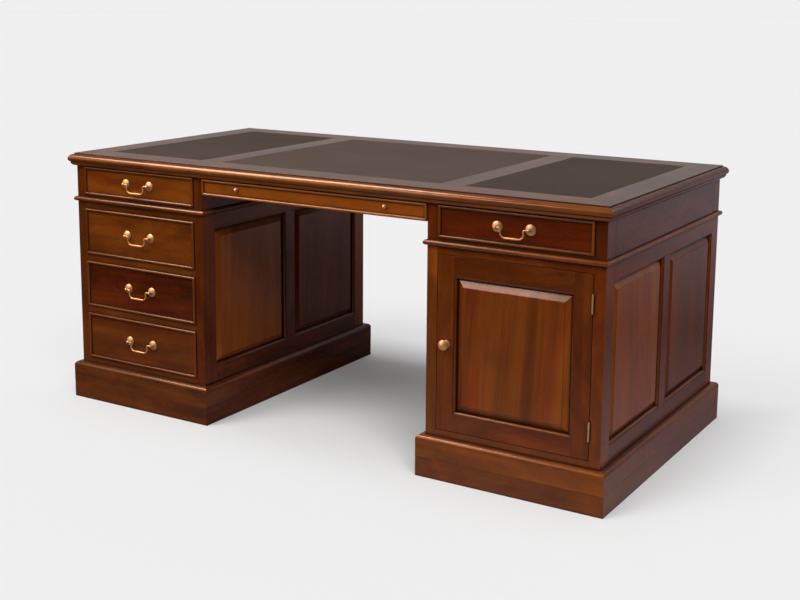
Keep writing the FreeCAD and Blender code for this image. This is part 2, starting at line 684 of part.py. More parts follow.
def knob(scale, shank, wood):
    """A turned knob on a collar, its shank through the wood and the nut on its end."""
    collar_radius, collar_height = (scale * size for size in KNOB_COLLAR)
    neck, head, widest, bend, height = (scale * size for size in (
        KNOB_NECK, KNOB_HEAD, KNOB_WIDEST_UP, KNOB_ROUND, KNOB_HEIGHT))
    end = -wood - NUT_THICK * shank - SHANK_SPARE
    under = (head - bend * (1 - math.sqrt(0.5)), widest - bend * math.sqrt(0.5))
    profile = section((0.0, end), (shank, end), (shank, 0.0), (collar_radius, 0.0),
                      (collar_radius, collar_height / 2), (neck, collar_height),
                      (neck, widest - bend), (head - bend, widest - bend),
                      (under, (head, widest)), domed((head, widest), (0.0, height)))
    return [turned(profile), hex_nut(shank, wood)]


# ---- Doors and their hinges: at the front of the right pedestal, with x from its middle ----

def door_opening():
    """Middle of the door's panel, and its panel opening's width and height."""
    width = 2 * (HALF_OPEN - DOOR_GAP - DOOR_STILE)
    low = OPEN_LOW + DOOR_GAP + DOOR_BOTTOM_RAIL
    high = OPEN_HIGH - DOOR_GAP - DOOR_TOP_RAIL
    return FreeCAD.Vector(0, -HALF_Y, (low + high) / 2), width, high - low


def knob_place():
    """Where the knob stands on the door."""
    x = DOOR_KNOB_IN + DOOR_GAP - HALF_OPEN
    return FreeCAD.Vector(x, -HALF_Y, (OPEN_LOW + OPEN_HIGH) / 2)


def door_frame():
    """Two stiles and two rails, grooved for the panel and cut for the hinge leaves and knob."""
    middle, width, height = door_opening()
    half_door = HALF_OPEN - DOOR_GAP
    y = (-HALF_Y, FRAME_THICK - HALF_Y)
    z = (OPEN_LOW + DOOR_GAP, OPEN_HIGH - DOOR_GAP)
    low, high = middle.z - height / 2, middle.z + height / 2
    boards = [board((-half_door, -width / 2), y, z), board((width / 2, half_door), y, z),
              board((-width / 2, width / 2), y, (z[0], low)),
              board((-width / 2, width / 2), y, (high, z[1]))]
    place = knob_place()
    drill = Part.makeCylinder(KNOB_SHANK + SHANK_FIT, FRAME_THICK + 2 * SPARE,
                              place - AWAY * SPARE, AWAY)
    groove = stood([panel_groove(width, height)], middle)
    return pared(boards, groove + leaf_recesses(-1) + [drill])


def door_panel():
    """The door's raised panel and the mouldings round it."""
    middle, width, height = door_opening()
    return stood([fielded_panel(width, height)] + panel_mouldings(width, height), middle)


def hinge_heights():
    """Middle heights of a door's two hinges."""
    return OPEN_LOW + HINGE_INSET, OPEN_HIGH - HINGE_INSET


def leaf_span(side):
    """The x limits of a leaf: side is 1 on the post and -1 on the door."""
    near = side * LEAF_GAP / 2
    return sorted((HINGE_X + near, HINGE_X + near + side * LEAF_THICK))


def leaf_recesses(side):
    """The recesses of a door's hinge leaves, in the post or in the door's edge."""
    span = leaf_span(side)
    x = (span[0], span[1] + LEAF_FIT) if side > 0 else (span[0] - LEAF_FIT, span[1])
    y = (-HALF_Y - SPARE, -HALF_Y + LEAF_DEPTH + LEAF_FIT)
    reach = HINGE_LENGTH / 2 + LEAF_FIT
    return [board(x, y, (z - reach, z + reach)) for z in hinge_heights()]


def hinge_leaf(side, knuckles, bore):
    """One leaf with its knuckles, at height 0."""
    x = leaf_span(side)
    half = HINGE_LENGTH / 2
    pitch = HINGE_LENGTH / KNUCKLES
    plate = board(x, (-HALF_Y - BARREL_CLEAR / 3, -HALF_Y + LEAF_DEPTH), (-half, half))
    rolls = []
    for knuckle in knuckles:
        low = knuckle * pitch - half + KNUCKLE_GAP / 2
        high = low + pitch - KNUCKLE_GAP
        centre = FreeCAD.Vector(HINGE_X, HINGE_Y, low)
        rolls.append(Part.makeCylinder(BARREL_RADIUS, high - low, centre))
        rolls.append(board(x, (HINGE_Y, -HALF_Y), (low, high)))
    pin_space = Part.makeCylinder(bore, HINGE_LENGTH + 2 * SPARE,
                                  FreeCAD.Vector(HINGE_X, HINGE_Y, -half - SPARE))
    return plate.fuse(rolls).removeSplitter().cut(pin_space).Solids[0]


def door_hinges():
    """The leaves that turn with the door, bored to run on the pins."""
    leaf = hinge_leaf(-1, range(1, KNUCKLES, 2), PIN_RADIUS + PIN_FIT)
    return [moved([leaf], z=height)[0] for height in hinge_heights()]


def post_hinges():
    """The leaves fixed to the post, and the pins held in their knuckles."""
    leaf = hinge_leaf(1, range(0, KNUCKLES, 2), PIN_RADIUS)
    low = KNUCKLE_GAP / 2 - HINGE_LENGTH / 2
    pin = Part.makeCylinder(PIN_RADIUS, -2 * low, FreeCAD.Vector(HINGE_X, HINGE_Y, low))
    return [piece for height in hinge_heights() for piece in moved([leaf, pin], z=height)]


# ---- The whole desk ----

def write_pedestals():
    """Both pedestals and what is fixed to them: the right one is the left one turned round."""
    width, height = side_openings()[:2]
    left = {"frame": pedestal_frame(), "panels": on_sides([fielded_panel(width, height)]),
            "mouldings": on_sides(panel_mouldings(width, height)), "inside": pedestal_inside(),
            "plinth": plinth()}
    for name, solids in left.items():
        stem = "plinth_{}" if name == "plinth" else "pedestal_{}_" + name
        here = moved(solids, x=-PED_X)
        write(stem.format("left"), here)
        write(stem.format("right"), half_turned(here))
    waist = moved(waist_moulding(), x=-PED_X)
    write("waist_mouldings", waist + half_turned(waist))
    leaves = moved(post_hinges(), x=PED_X)
    write("hinge_leaves", leaves + half_turned(leaves))


def write_both(stem, solids):
    """Write what the front sitter has, and the same turned round for the back sitter."""
    write(stem.format("front"), solids)
    write(stem.format("back"), half_turned(solids))


def write_handled_drawer(name, x, floor, height):
    """A drawer as wide as a pedestal's opening, with its handle."""
    half = HANDLE_CENTRES / 2
    handle_z = height / 2 + HANDLE_RISE
    holes = [(-half, handle_z), (half, handle_z)]
    body = drawer(2 * HALF_OPEN, height, 0.0, holes, SHANK_RADIUS + SHANK_FIT)
    place = FreeCAD.Vector(x, -HALF_Y, floor + handle_z)
    write_both("drawer_{}_" + name, moved(body, x, -HALF_Y, floor))
    write_both("handle_posts_{}_" + name, stood(handle_posts(), place))
    write_both("bail_{}_" + name, stood(bail(), place))


def write_centre_drawer():
    """The drawer over the kneehole, with two small knobs."""
    knob_z = CENTRE_FRONT / 2 + HANDLE_RISE
    knob_x = INNER_X - KNOB_INSET
    shank = KNOB_SHANK * KNOB_SCALE
    holes = [(-knob_x, knob_z), (knob_x, knob_z)]
    body = drawer(2 * INNER_X, CENTRE_FRONT, BEARER_HEIGHT, holes, shank + SHANK_FIT)
    knobs = []
    for x, z in holes:
        knobs += stood(knob(KNOB_SCALE, shank, FRONT_THICK),
                       FreeCAD.Vector(x, -HALF_Y, CENTRE_Z + z))
    write_both("drawer_{}_top_centre", moved(body, y=-HALF_Y, z=CENTRE_Z))
    write_both("knobs_{}_top_centre", knobs)


def write_doors():
    """Both cupboard doors, each with its panel, knob and turning hinge leaves."""
    turning = {"frame": door_frame(), "panel": door_panel(), "hinges": door_hinges(),
               "knob": stood(knob(1.0, KNOB_SHANK, FRAME_THICK), knob_place())}
    for name, solids in turning.items():
        write_both("door_{}_" + name, moved(solids, x=PED_X))


def main():
    """Write every node of the desk."""
    os.makedirs("parts", exist_ok=True)
    write("top_frame", top_frame())
    write("top_boards", top_boards())
    write("top_leathers", top_leathers())
    write("top_band", top_band())
    write("frieze_frame", frieze_frame())
    write("frieze_inside", frieze_inside())
    write_pedestals()
    write_doors()
    write_handled_drawer("top_left", -PED_X, SILL_Z, BAND_Z - SILL_Z)
    write_handled_drawer("top_right", PED_X, SILL_Z, BAND_Z - SILL_Z)
    write_centre_drawer()
    for row, name in enumerate(("lower", "middle", "upper")):
        write_handled_drawer(name, -PED_X, row_floor(row), ROW_HEIGHT)


main()
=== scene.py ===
"""A partners desk, built around its CAD frame and run as a script.

Boards are cut from the CAD solids one at a time, so that each has its own
arrises and its own grain. Lengths are in metres.
"""

import math
import random
from typing import NamedTuple

import bmesh
import bpy
from mathutils import Matrix, Vector


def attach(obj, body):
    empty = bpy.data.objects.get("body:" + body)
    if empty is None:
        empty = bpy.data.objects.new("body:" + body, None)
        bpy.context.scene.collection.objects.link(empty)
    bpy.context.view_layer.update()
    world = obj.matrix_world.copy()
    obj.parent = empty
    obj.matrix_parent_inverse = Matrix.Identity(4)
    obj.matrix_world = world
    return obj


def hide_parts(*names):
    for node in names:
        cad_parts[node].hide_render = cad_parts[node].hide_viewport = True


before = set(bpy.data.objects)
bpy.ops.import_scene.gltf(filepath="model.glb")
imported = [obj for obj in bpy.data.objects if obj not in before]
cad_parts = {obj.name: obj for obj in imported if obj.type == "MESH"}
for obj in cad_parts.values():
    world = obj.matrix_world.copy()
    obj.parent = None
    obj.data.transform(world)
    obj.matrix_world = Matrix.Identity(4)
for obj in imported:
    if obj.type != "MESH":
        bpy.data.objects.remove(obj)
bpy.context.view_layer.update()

bl_info = {
    "name": "Partners desk",
    "version": (1, 0, 0),
    "blender": (4, 5, 0),
    "location": "View3D > Sidebar > Desk",
    "description": "Builds the visible pieces of a partners desk",
    "category": "Object",
}

SIDES = ("front", "back")
PEDESTALS = ("left", "right")
DRAWERS = ("top_left", "top_right", "upper", "middle", "lower", "top_centre")
BRASS_WORDS = ("bail", "handle_posts", "knob", "hinge")
WOODS = {"mahogany": "mahogany_polished", "drawer_lining": "lining_wood"}

# How light each group of boards is within its wood's range, 0 to 1, and how
# much redder or browner than usual. A pedestal's end is its outer side, and its
# knee side faces the kneehole. There, a post or panel is by the drawers or by
# the door.
PLAIN = (0.5, 0.0)
LOOKS = {
    "top_frame": (0.32, -0.2),
    "top_ends": (0.2, -0.1),
    "top_band": (0.5, 0.0),
    "frieze_frame": (0.40, 0.1),
    "waist_mouldings": (0.45, 0.0),
    "pedestal_left_frame": (0.42, -0.3),
    "pedestal_right_frame": (0.46, -0.1),
    "pedestal_left_panels": (0.52, -0.1),
    "pedestal_right_panels": (0.54, -0.1),
    # The left pedestal's mouldings are darker than the right's, a painted shade for the kneehole.
    "pedestal_left_mouldings": (0.38, 0.0),
    "pedestal_right_mouldings": (0.45, 0.0),
    "plinth_left": (0.40, -0.1),
    "plinth_right": (0.48, -0.2),
    "door_frame": (0.41, 0.1),
    "door_panel": (0.62, -0.35),
    "bead": (0.42, 0.0),
    # The centre drawer's beads are lighter, a painted highlight
    "highlight_bead": (0.70, -0.2),
    "top_left": (0.70, -0.2),
    "top_centre": (0.80, -0.3),
    "top_right": (0.42, 1.1),
    "upper": (0.60, -0.3),
    "middle": (0.30, 0.2),
    "lower": (0.35, 0.0),
    # The frieze ends are darker, a painted shade.
    "end_boards": (0.15, 0.0),
    "end_rails": (0.29, 0.0),
    # The end panel by the drawers is darker than the one by the door, a painted falloff of light.
    "end_panel_door": (0.66, -0.4),
    "end_panel_drawers": (0.35, 0.1),
    "knee_post_drawers": (0.34, -0.3),
    "knee_post_door": (0.58, -0.2),
    # The kneehole's rails, and its panel by the door, are darker than its panel by the drawers, a
    # painted shade deeper in the kneehole.
    "knee_rails": (0.27, -0.3),
    "knee_panel_drawers": (0.78, -0.6),
    "knee_panel_door": (0.40, 0.0),
}

# Places of boards in their CAD nodes. Mitred lengths run round from the front.
FRONT, RIGHT, BACK, LEFT = range(4)
CROSS_RAIL_RIGHT = 5
FRIEZE_ENDS = (4, 15)
WAIST_LENGTHS = range(8)
KNEE_POST_DRAWERS, KNEE_POST_DOOR = 2, 3
END_RAILS = (4, 5, 6)
KNEE_RAILS = (7, 8, 9)
KNEE_PANEL_DRAWERS, KNEE_PANEL_DOOR, END_PANEL_DOOR, END_PANEL_DRAWERS = range(4)
PLINTH_UPPER = 4
DRAWER_FRONT = 0
DRAWER_LININGS = range(1, 5)
DRAWER_BEADS = range(5, 9)
DOOR_MOULDINGS = range(1, 5)

# How strongly the upright faces of a few boards take a painted highlight in the lighter worn
# colour, 0 to 1
EDGE_HIGHLIGHT = {FRONT: 0.5, RIGHT: 0.1, BACK: 0.5, LEFT: 0.1}
UPRIGHT_HIGHLIGHT = {"waist": 0.2, "bead": 0.35, "highlight_bead": 0.9, "top_centre": 0.35}

# How much darker the boards of a plinth are than its look; the sides are darkest, a painted shade
# meant for the kneehole side
PLINTH_SHADE = {
    FRONT: 0.09, RIGHT: 0.2, BACK: 0.09, LEFT: 0.2,
    PLINTH_UPPER + RIGHT: 0.12, PLINTH_UPPER + LEFT: 0.14,
}

# Arrises of some boards, as shares of the usual one, and that of the leathers in metres
FINE_ARRIS = 0.5
WAIST_ARRIS = 0.4
PANEL_ARRIS = 1.6
PLINTH_ARRIS = 1.2
HIDE_ARRIS = 0.0006

# The three leathers from left to right, 0 for dark to 1 for pale; the middle one is paler as a
# painted sheen
HIDE_TONES = (0.05, 0.72, 0.05)

# Limits that decide how a mesh is cleaned, eased and shaded
MERGED = 0.00001
FLAT = math.radians(0.4)
SHARP = math.radians(20)
EASED = math.radians(38)
SHORTEST_EASED = 0.02
WIDE_BOARD = 0.15
LEVEL = 0.97

# How far boards of one look differ in tone, redness, slope of grain and place in the tree
TONE_PLAY = 0.05
RED_PLAY = 0.25
SLOPE_PLAY = 0.06
TREE_REACH = 9


# ---------------------------------------------------------------- properties


class DeskWood(bpy.types.PropertyGroup):
    """Colours and finish of the mahogany and of the drawer linings."""

    dark: bpy.props.FloatVectorProperty(
        name="Dark grain",
        description="Colour of the darkest grain in the mahogany",
        subtype="COLOR", size=3, min=0, max=1, default=(0.040, 0.0082, 0.0010),
    )
    middle: bpy.props.FloatVectorProperty(
        name="Middle grain",
        description="Colour of most of the mahogany",
        subtype="COLOR", size=3, min=0, max=1, default=(0.128, 0.0275, 0.0016),
    )
    light: bpy.props.FloatVectorProperty(
        name="Light grain",
        description="Colour of the lightest grain in the mahogany",
        subtype="COLOR", size=3, min=0, max=1, default=(0.29, 0.068, 0.004),
    )
    lining: bpy.props.FloatVectorProperty(
        name="Drawer lining",
        description="Colour of the paler wood inside",
        subtype="COLOR", size=3, min=0, max=1, default=(0.42, 0.26, 0.13),
    )
    arris: bpy.props.FloatProperty(
        name="Arris",
        description="Width of the chamfer along the edge of a board",
        subtype="DISTANCE", unit="LENGTH", min=0.0001, max=0.003, default=0.0006,
    )
    stave: bpy.props.FloatProperty(
        name="Stave",
        description="Usual width of the staves that a wide panel is glued up from",
        subtype="DISTANCE", unit="LENGTH", min=0.02, max=0.3, default=0.15,
    )


class DeskTrim(bpy.types.PropertyGroup):
    """Colours of the brass and of the leather."""

    brass: bpy.props.FloatVectorProperty(
        name="Brass", description="Colour of the brass where it is bright",
        subtype="COLOR", size=3, min=0, max=1, default=(0.80, 0.47, 0.26),
    )
    tarnish: bpy.props.FloatVectorProperty(
        name="Tarnish", description="Colour of the brass where it has browned",
        subtype="COLOR", size=3, min=0, max=1, default=(0.57, 0.31, 0.14),
    )
    grime: bpy.props.FloatVectorProperty(
        name="Grime", description="Colour of the brass where hands don't reach",
        subtype="COLOR", size=3, min=0, max=1, default=(0.10, 0.045, 0.015),
    )
    hide: bpy.props.FloatVectorProperty(
        name="Hide", description="Colour of the leather at its palest",
        subtype="COLOR", size=3, min=0, max=1, default=(0.084, 0.050, 0.034),
    )
    dark_hide: bpy.props.FloatVectorProperty(
        name="Dark hide", description="Colour of the leather at its darkest",
        subtype="COLOR", size=3, min=0, max=1, default=(0.037, 0.019, 0.010),
    )
    pebble: bpy.props.FloatVectorProperty(
        name="Pebble", description="Colour between the pebbles of the leather's grain",
        subtype="COLOR", size=3, min=0, max=1, default=(0.012, 0.010, 0.008),
    )


class DeskStage(bpy.types.PropertyGroup):
    """Camera, lamps and floor."""

    stand: bpy.props.FloatVectorProperty(
        name="Camera place",
        description="Where the camera stands",
        subtype="TRANSLATION", unit="LENGTH", size=3,
        default=(2.01984, -3.25235, 1.28741),
    )
    turn: bpy.props.FloatProperty(
        name="Turn", description="Camera turned to the left of the far side",
        subtype="ANGLE", default=0.5485,
    )
    dip: bpy.props.FloatProperty(
        name="Dip", description="Camera tipped down from level",
        subtype="ANGLE", default=0.1641,
    )
    lean: bpy.props.FloatProperty(
        name="Lean", description="Camera leaned about its own axis",
        subtype="ANGLE", default=0.0073,
    )
    lens: bpy.props.FloatProperty(
        name="Lens", description="Focal length on a 36 mm sensor, in millimetres",
        min=10, max=300, default=57.375,
    )
    rise: bpy.props.FloatProperty(
        name="Rise", description="Vertical shift of the lens",
        min=-0.5, max=0.5, default=-0.125,
    )
    surround: bpy.props.FloatProperty(
        name="Surround", description="Brightness of the floor and backdrop",
        min=0, max=1, default=0.863,
    )
    bounce: bpy.props.FloatProperty(
        name="Bounce", description="Brightness of the floor as the desk sees it",
        min=0, max=1, default=0.3,
    )
    paper: bpy.props.FloatProperty(
        name="Paper", description="How much light the lamps throw on open floor",
        min=0, max=3, default=1.17,
    )
    mirrored: bpy.props.FloatProperty(
        name="Mirrored", description="Brightness of the backdrop in the polish",
        min=0, max=1, default=0.35,
    )
    near_tint: bpy.props.FloatVectorProperty(
        name="Near tint", description="Colour of the floor in front, as the polish shows it",
        subtype="COLOR", size=3, min=0, max=1, default=(1.0, 0.88, 0.76),
    )
    far_tint: bpy.props.FloatVectorProperty(
        name="Far tint", description="Colour of the room behind, as the polish shows it",
        subtype="COLOR", size=3, min=0, max=1, default=(1.0, 0.84, 0.94),
    )
    fill: bpy.props.FloatProperty(
        name="Fill", description="Strength of the light from all round",
        min=0, max=2, default=0.17,
    )
    back_fill: bpy.props.FloatProperty(
        name="Back fill", description="How much stronger that light is from behind",
        min=0, max=2, default=0.36,
    )
    key: bpy.props.FloatProperty(
        name="Key", description="Strength of the large lamp at the front left",
        min=0, max=10, default=1.4,
    )
    key_from: bpy.props.FloatVectorProperty(
        name="Key from", description="Direction from the desk towards the key lamp",
        subtype="DIRECTION", size=3, default=(-0.45, -0.7, 0.75),
    )
    key_size: bpy.props.FloatProperty(
        name="Key size", description="Angle that the key lamp spans",
        subtype="ANGLE", min=0, max=3.14, default=math.radians(32),
    )
    side: bpy.props.FloatProperty(
        name="Side", description="Strength of the lamp at the front right",
        min=0, max=10, default=1.45,
    )
    side_from: bpy.props.FloatVectorProperty(
        name="Side from", description="Direction from the desk towards the side lamp",
        subtype="DIRECTION", size=3, default=(0.7, -0.6, 0.9),
    )
    side_size: bpy.props.FloatProperty(
        name="Side size", description="Angle that the side lamp spans",
        subtype="ANGLE", min=0, max=3.14, default=math.radians(26),
    )
    top: bpy.props.FloatProperty(
        name="Top", description="Strength of the broad lamp overhead",
        min=0, max=10, default=1.1,
    )
    top_from: bpy.props.FloatVectorProperty(
        name="Top from", description="Direction from the desk towards the overhead lamp",
        subtype="DIRECTION", size=3, default=(-0.05, -0.15, 1.0),
    )
    top_size: bpy.props.FloatProperty(
        name="Top size", description="Angle that the overhead lamp spans",
        subtype="ANGLE", min=0, max=3.14, default=math.radians(48),
    )
    gleam: bpy.props.FloatProperty(
        name="Gleam", description="Brightness of the panel that gleams along the top's front edge",
        min=0, max=50, default=18.0,
    )
    gleam_tint: bpy.props.FloatVectorProperty(
        name="Gleam tint", description="Colour of that panel",
        subtype="COLOR", size=3, min=0, max=1, default=(1.0, 0.76, 0.58),
    )
    gleam_place: bpy.props.FloatVectorProperty(
        name="Gleam place", description="Middle of that panel",
        subtype="TRANSLATION", unit="LENGTH", size=3, default=(-1.5, -1.15, 2.6),
    )
    gleam_size: bpy.props.FloatVectorProperty(
        name="Gleam size", description="Width and height of that panel",
        subtype="XYZ_LENGTH", unit="LENGTH", size=2, default=(1.1, 1.8),
    )
    wash: bpy.props.FloatProperty(
        name="Wash", description="Brightness of the broad panel that shows in rounded edges",
        min=0, max=50, default=2.8,
    )
    wash_tint: bpy.props.FloatVectorProperty(
        name="Wash tint", description="Colour of the broad panel",
        subtype="COLOR", size=3, min=0, max=1, default=(1.0, 0.56, 0.28),
    )
    wash_place: bpy.props.FloatVectorProperty(
        name="Wash place", description="Middle of the broad panel",
        subtype="TRANSLATION", unit="LENGTH", size=3, default=(-2.1, -2.5, 1.8),
    )
    wash_size: bpy.props.FloatVectorProperty(
        name="Wash size", description="Width and height of the broad panel",
        subtype="XYZ_LENGTH", unit="LENGTH", size=2, default=(2.6, 1.7),
    )
    glow: bpy.props.FloatProperty(
        name="Glow", description="Brightness of the small panel that gleams on the fronts' bevels",
        min=0, max=50, default=8.5,
    )
    glow_place: bpy.props.FloatVectorProperty(
        name="Glow place", description="Middle of the small panel",
        subtype="TRANSLATION", unit="LENGTH", size=3, default=(-0.75, -2.4, 2.15),
    )
    glow_size: bpy.props.FloatVectorProperty(
        name="Glow size", description="Width and height of the small panel",
        subtype="XYZ_LENGTH", unit="LENGTH", size=2, default=(0.9, 0.4),
    )
    rim: bpy.props.FloatProperty(
        name="Rim", description="Brightness of the panel behind, that gleams on the far side",
        min=0, max=50, default=7.0,
    )
    rim_place: bpy.props.FloatVectorProperty(
        name="Rim place", description="Middle of the panel behind",
        subtype="TRANSLATION", unit="LENGTH", size=3, default=(2.4, 2.2, 2.5),
    )
    rim_size: bpy.props.FloatVectorProperty(
        name="Rim size", description="Width and height of the panel behind",
        subtype="XYZ_LENGTH", unit="LENGTH", size=2, default=(1.4, 0.9),
    )


# ------------------------------------------------------------------ nodes


def fill(tree, sockets, values):
    """Gives some sockets their links or their constant values."""
    for name, value in values.items():
        if isinstance(value, bpy.types.NodeSocket):
            tree.links.new(value, sockets[name])
        else:
            sockets[name].default_value = value


def put(tree, kind, sockets=None, **settings):
    """A new node in a tree, with its settings, and values or links for its sockets."""
    node = tree.nodes.new("ShaderNode" + kind)
    for name, value in settings.items():
        setattr(node, name, value)
    fill(tree, node.inputs, sockets or {})
    return node


def maths(tree, operation, *values, clamp=False):
    """The result of a Math node."""
    sockets = dict(enumerate(values))
    return put(tree, "Math", sockets, operation=operation, use_clamp=clamp).outputs[0]


def vector_maths(tree, operation, *values, output=0):
    """The result of a Vector Math node."""
    sockets = dict(enumerate(values))
    return put(tree, "VectorMath", sockets, operation=operation).outputs[output]


def parted(tree, vector):
    """The X, Y and Z of a vector, by name."""
    return put(tree, "SeparateXYZ", {0: vector}).outputs


def noise(tree, vector, detail=2.0, rough=0.5, distortion=0.0, scale=1.0):
    """The value of a noise pattern."""
    return put(tree, "TexNoise", {
        "Vector": vector, "Scale": scale, "Detail": detail, "Roughness": rough,
        "Distortion": distortion,
    }).outputs["Fac"]


def ranged(tree, value, low, high, to_low=0.0, to_high=1.0):
    """A value mapped from one range to another, and kept inside it."""
    return put(tree, "MapRange", {
        "Value": value, "From Min": low, "From Max": high,
        "To Min": to_low, "To Max": to_high,
    }).outputs[0]


def between(tree, factor, a, b):
    """Two values mixed."""
    return put(tree, "Mix", {0: factor, 2: a, 3: b}).outputs[0]


def mixed(tree, factor, a, b, blend="MIX"):
    """Two colours mixed."""
    sockets = {0: factor, 6: a, 7: b}
    return put(tree, "Mix", sockets, data_type="RGBA", blend_type=blend).outputs[2]


def bumped(tree, height, distance):
    """The normal of a surface that rises by distance where height is 1."""
    sockets = {"Strength": 1.0, "Distance": distance, "Height": height}
    return put(tree, "Bump", sockets).outputs[0]


def openness(tree, reach, samples):
    """1 on an open face, and less in corners within reach."""
    return put(tree, "AmbientOcclusion", {"Distance": reach}, samples=samples).outputs["AO"]


def attribute(tree, name, output="Fac"):
    """What a piece's own attribute holds."""
    return put(tree, "Attribute", attribute_name=name).outputs[output]


def group(name, inputs, outputs):
    """A new node group. inputs and outputs are (name, socket type) pairs."""
    tree = bpy.data.node_groups.new(name, "ShaderNodeTree")
    for in_out, sockets in (("INPUT", inputs), ("OUTPUT", outputs)):
        for socket, kind in sockets:
            tree.interface.new_socket(
                name=socket, in_out=in_out, socket_type="NodeSocket" + kind
            )
    return tree, tree.nodes.new("NodeGroupInput").outputs, tree.nodes.new("NodeGroupOutput").inputs


def place_group(tree, made, sockets):
    """The outputs of a node group placed in a material."""
    return put(tree, "Group", sockets, node_tree=made).outputs


def rgba(colour):
    """A colour of a property with its alpha."""
    return (*colour, 1.0)


# ------------------------------------------------------------------ grain


class Pattern(NamedTuple):
    """A noise of the wood: how often it varies in a metre, and its character."""

    along: float
    across: float
    detail: float
    rough: float
    distortion: float = 0.0


CLOUDS = Pattern(3.6, 7.5, 4.0, 0.66, 1.0)
BROAD = Pattern(1.1, 13.0, 2.0, 0.45, 0.5)
STREAKS = Pattern(1.6, 48.0, 2.0, 0.5, 0.3)
FINE = Pattern(4.0, 170.0, 3.0, 0.6)
PORES = Pattern(55.0, 1500.0, 1.0, 0.5)
WANDER = Pattern(1.6, 4.0, 2.0, 0.5)
WARMTH = Pattern(2.0, 9.0, 2.0, 0.5, 0.5)

# How much each pattern adds to the figure. Clouds add less on a wide board.
CLOUD_SHARE = 0.95
CLOUD_CALM = 0.5
BROAD_SHARE = 0.55
STREAK_SHARE = 0.38
FINE_SHARE = 0.14
RING_SHARE = 0.012
STAVE_SHARE = 0.07

STAVE_UNEVEN = 0.7   # how much the staves differ in width
STAVE_JUMP = 7.0     # at most how far along its grain a stave is shifted
RING_RATE = 420.0    # in radians a metre, so that rings are 15 mm apart
RING_WANDER = 0.16   # how far a ring strays from a circle


def grain_noise(tree, pattern, place):
    """The value of one of the wood's patterns, drawn out along the board."""
    scale = (pattern.along, pattern.across, pattern.across)
    stretched = vector_maths(tree, "MULTIPLY", place, scale)
    return noise(tree, stretched, pattern.detail, pattern.rough, pattern.distortion)


def staves(tree, place, stave, wide):
    """The tone of each stave of a wide board, and places that start anew on each."""
    strips = put(
        tree, "TexVoronoi",
        {"W": parted(tree, place)["Y"], "Scale": 1 / stave, "Randomness": STAVE_UNEVEN},
        voronoi_dimensions="1D",
    )
    tone = put(tree, "SeparateColor", {0: strips.outputs["Color"]}).outputs[0]
    jump = maths(tree, "MULTIPLY", tone, wide)
    along = maths(tree, "MULTIPLY", jump, STAVE_JUMP)
    jumps = put(tree, "CombineXYZ", {"X": along, "Z": jump}).outputs[0]
    return tone, vector_maths(tree, "ADD", place, jumps)


def growth_rings(tree, place):
    """Rings about a heart that is mostly well outside the board, from -1 to 1."""
    at = parted(tree, place)
    wander = grain_noise(tree, WANDER, place)
    section = put(tree, "CombineXYZ", {"X": at["Y"], "Y": at["Z"]}).outputs[0]
    radius = vector_maths(tree, "LENGTH", section, output="Value")
    radius = maths(tree, "MULTIPLY_ADD", wander, RING_WANDER, radius)
    return maths(tree, "SINE", maths(tree, "MULTIPLY", radius, RING_RATE))


def figure_group(stave):
    """Grain: its light and dark, its pores and its relief, from a place on the board."""
    tree, given, out = group(
        "Wood figure",
        [("Place", "Vector"), ("Tone", "Float"), ("Wide", "Float"), ("Red", "Float")],
        [("Figure", "Float"), ("Pores", "Float"), ("Relief", "Float"), ("Warmth", "Float")],
    )
    stave_tone, moved = staves(tree, given["Place"], stave, given["Wide"])
    fine = grain_noise(tree, FINE, moved)
    figure = maths(tree, "MULTIPLY_ADD", growth_rings(tree, moved), RING_SHARE, given["Tone"])
    calm = maths(tree, "MULTIPLY_ADD", given["Wide"], -CLOUD_CALM, CLOUD_SHARE)
    patterns = (
        (grain_noise(tree, CLOUDS, given["Place"]), calm),
        (grain_noise(tree, BROAD, moved), BROAD_SHARE),
        (grain_noise(tree, STREAKS, moved), STREAK_SHARE),
        (fine, FINE_SHARE),
    )
    for pattern, share in patterns:
        figure = maths(
            tree, "MULTIPLY_ADD", maths(tree, "SUBTRACT", pattern, 0.5), share, figure
        )
    strip = maths(tree, "MULTIPLY", maths(tree, "SUBTRACT", stave_tone, 0.5), given["Wide"])
    figure = maths(tree, "MULTIPLY_ADD", strip, STAVE_SHARE, figure)
    pores = ranged(tree, grain_noise(tree, PORES, moved), 0.62, 0.7)
    warmth = ranged(tree, grain_noise(tree, WARMTH, moved), 0.36, 0.72)
    fill(tree, out, {
        "Figure": maths(tree, "ADD", figure, 0.0, clamp=True),
        "Pores": pores,
        "Relief": maths(tree, "SUBTRACT", maths(tree, "MULTIPLY", fine, 0.4), pores),
        "Warmth": maths(tree, "ADD", warmth, given["Red"], clamp=True),
    })
    return tree


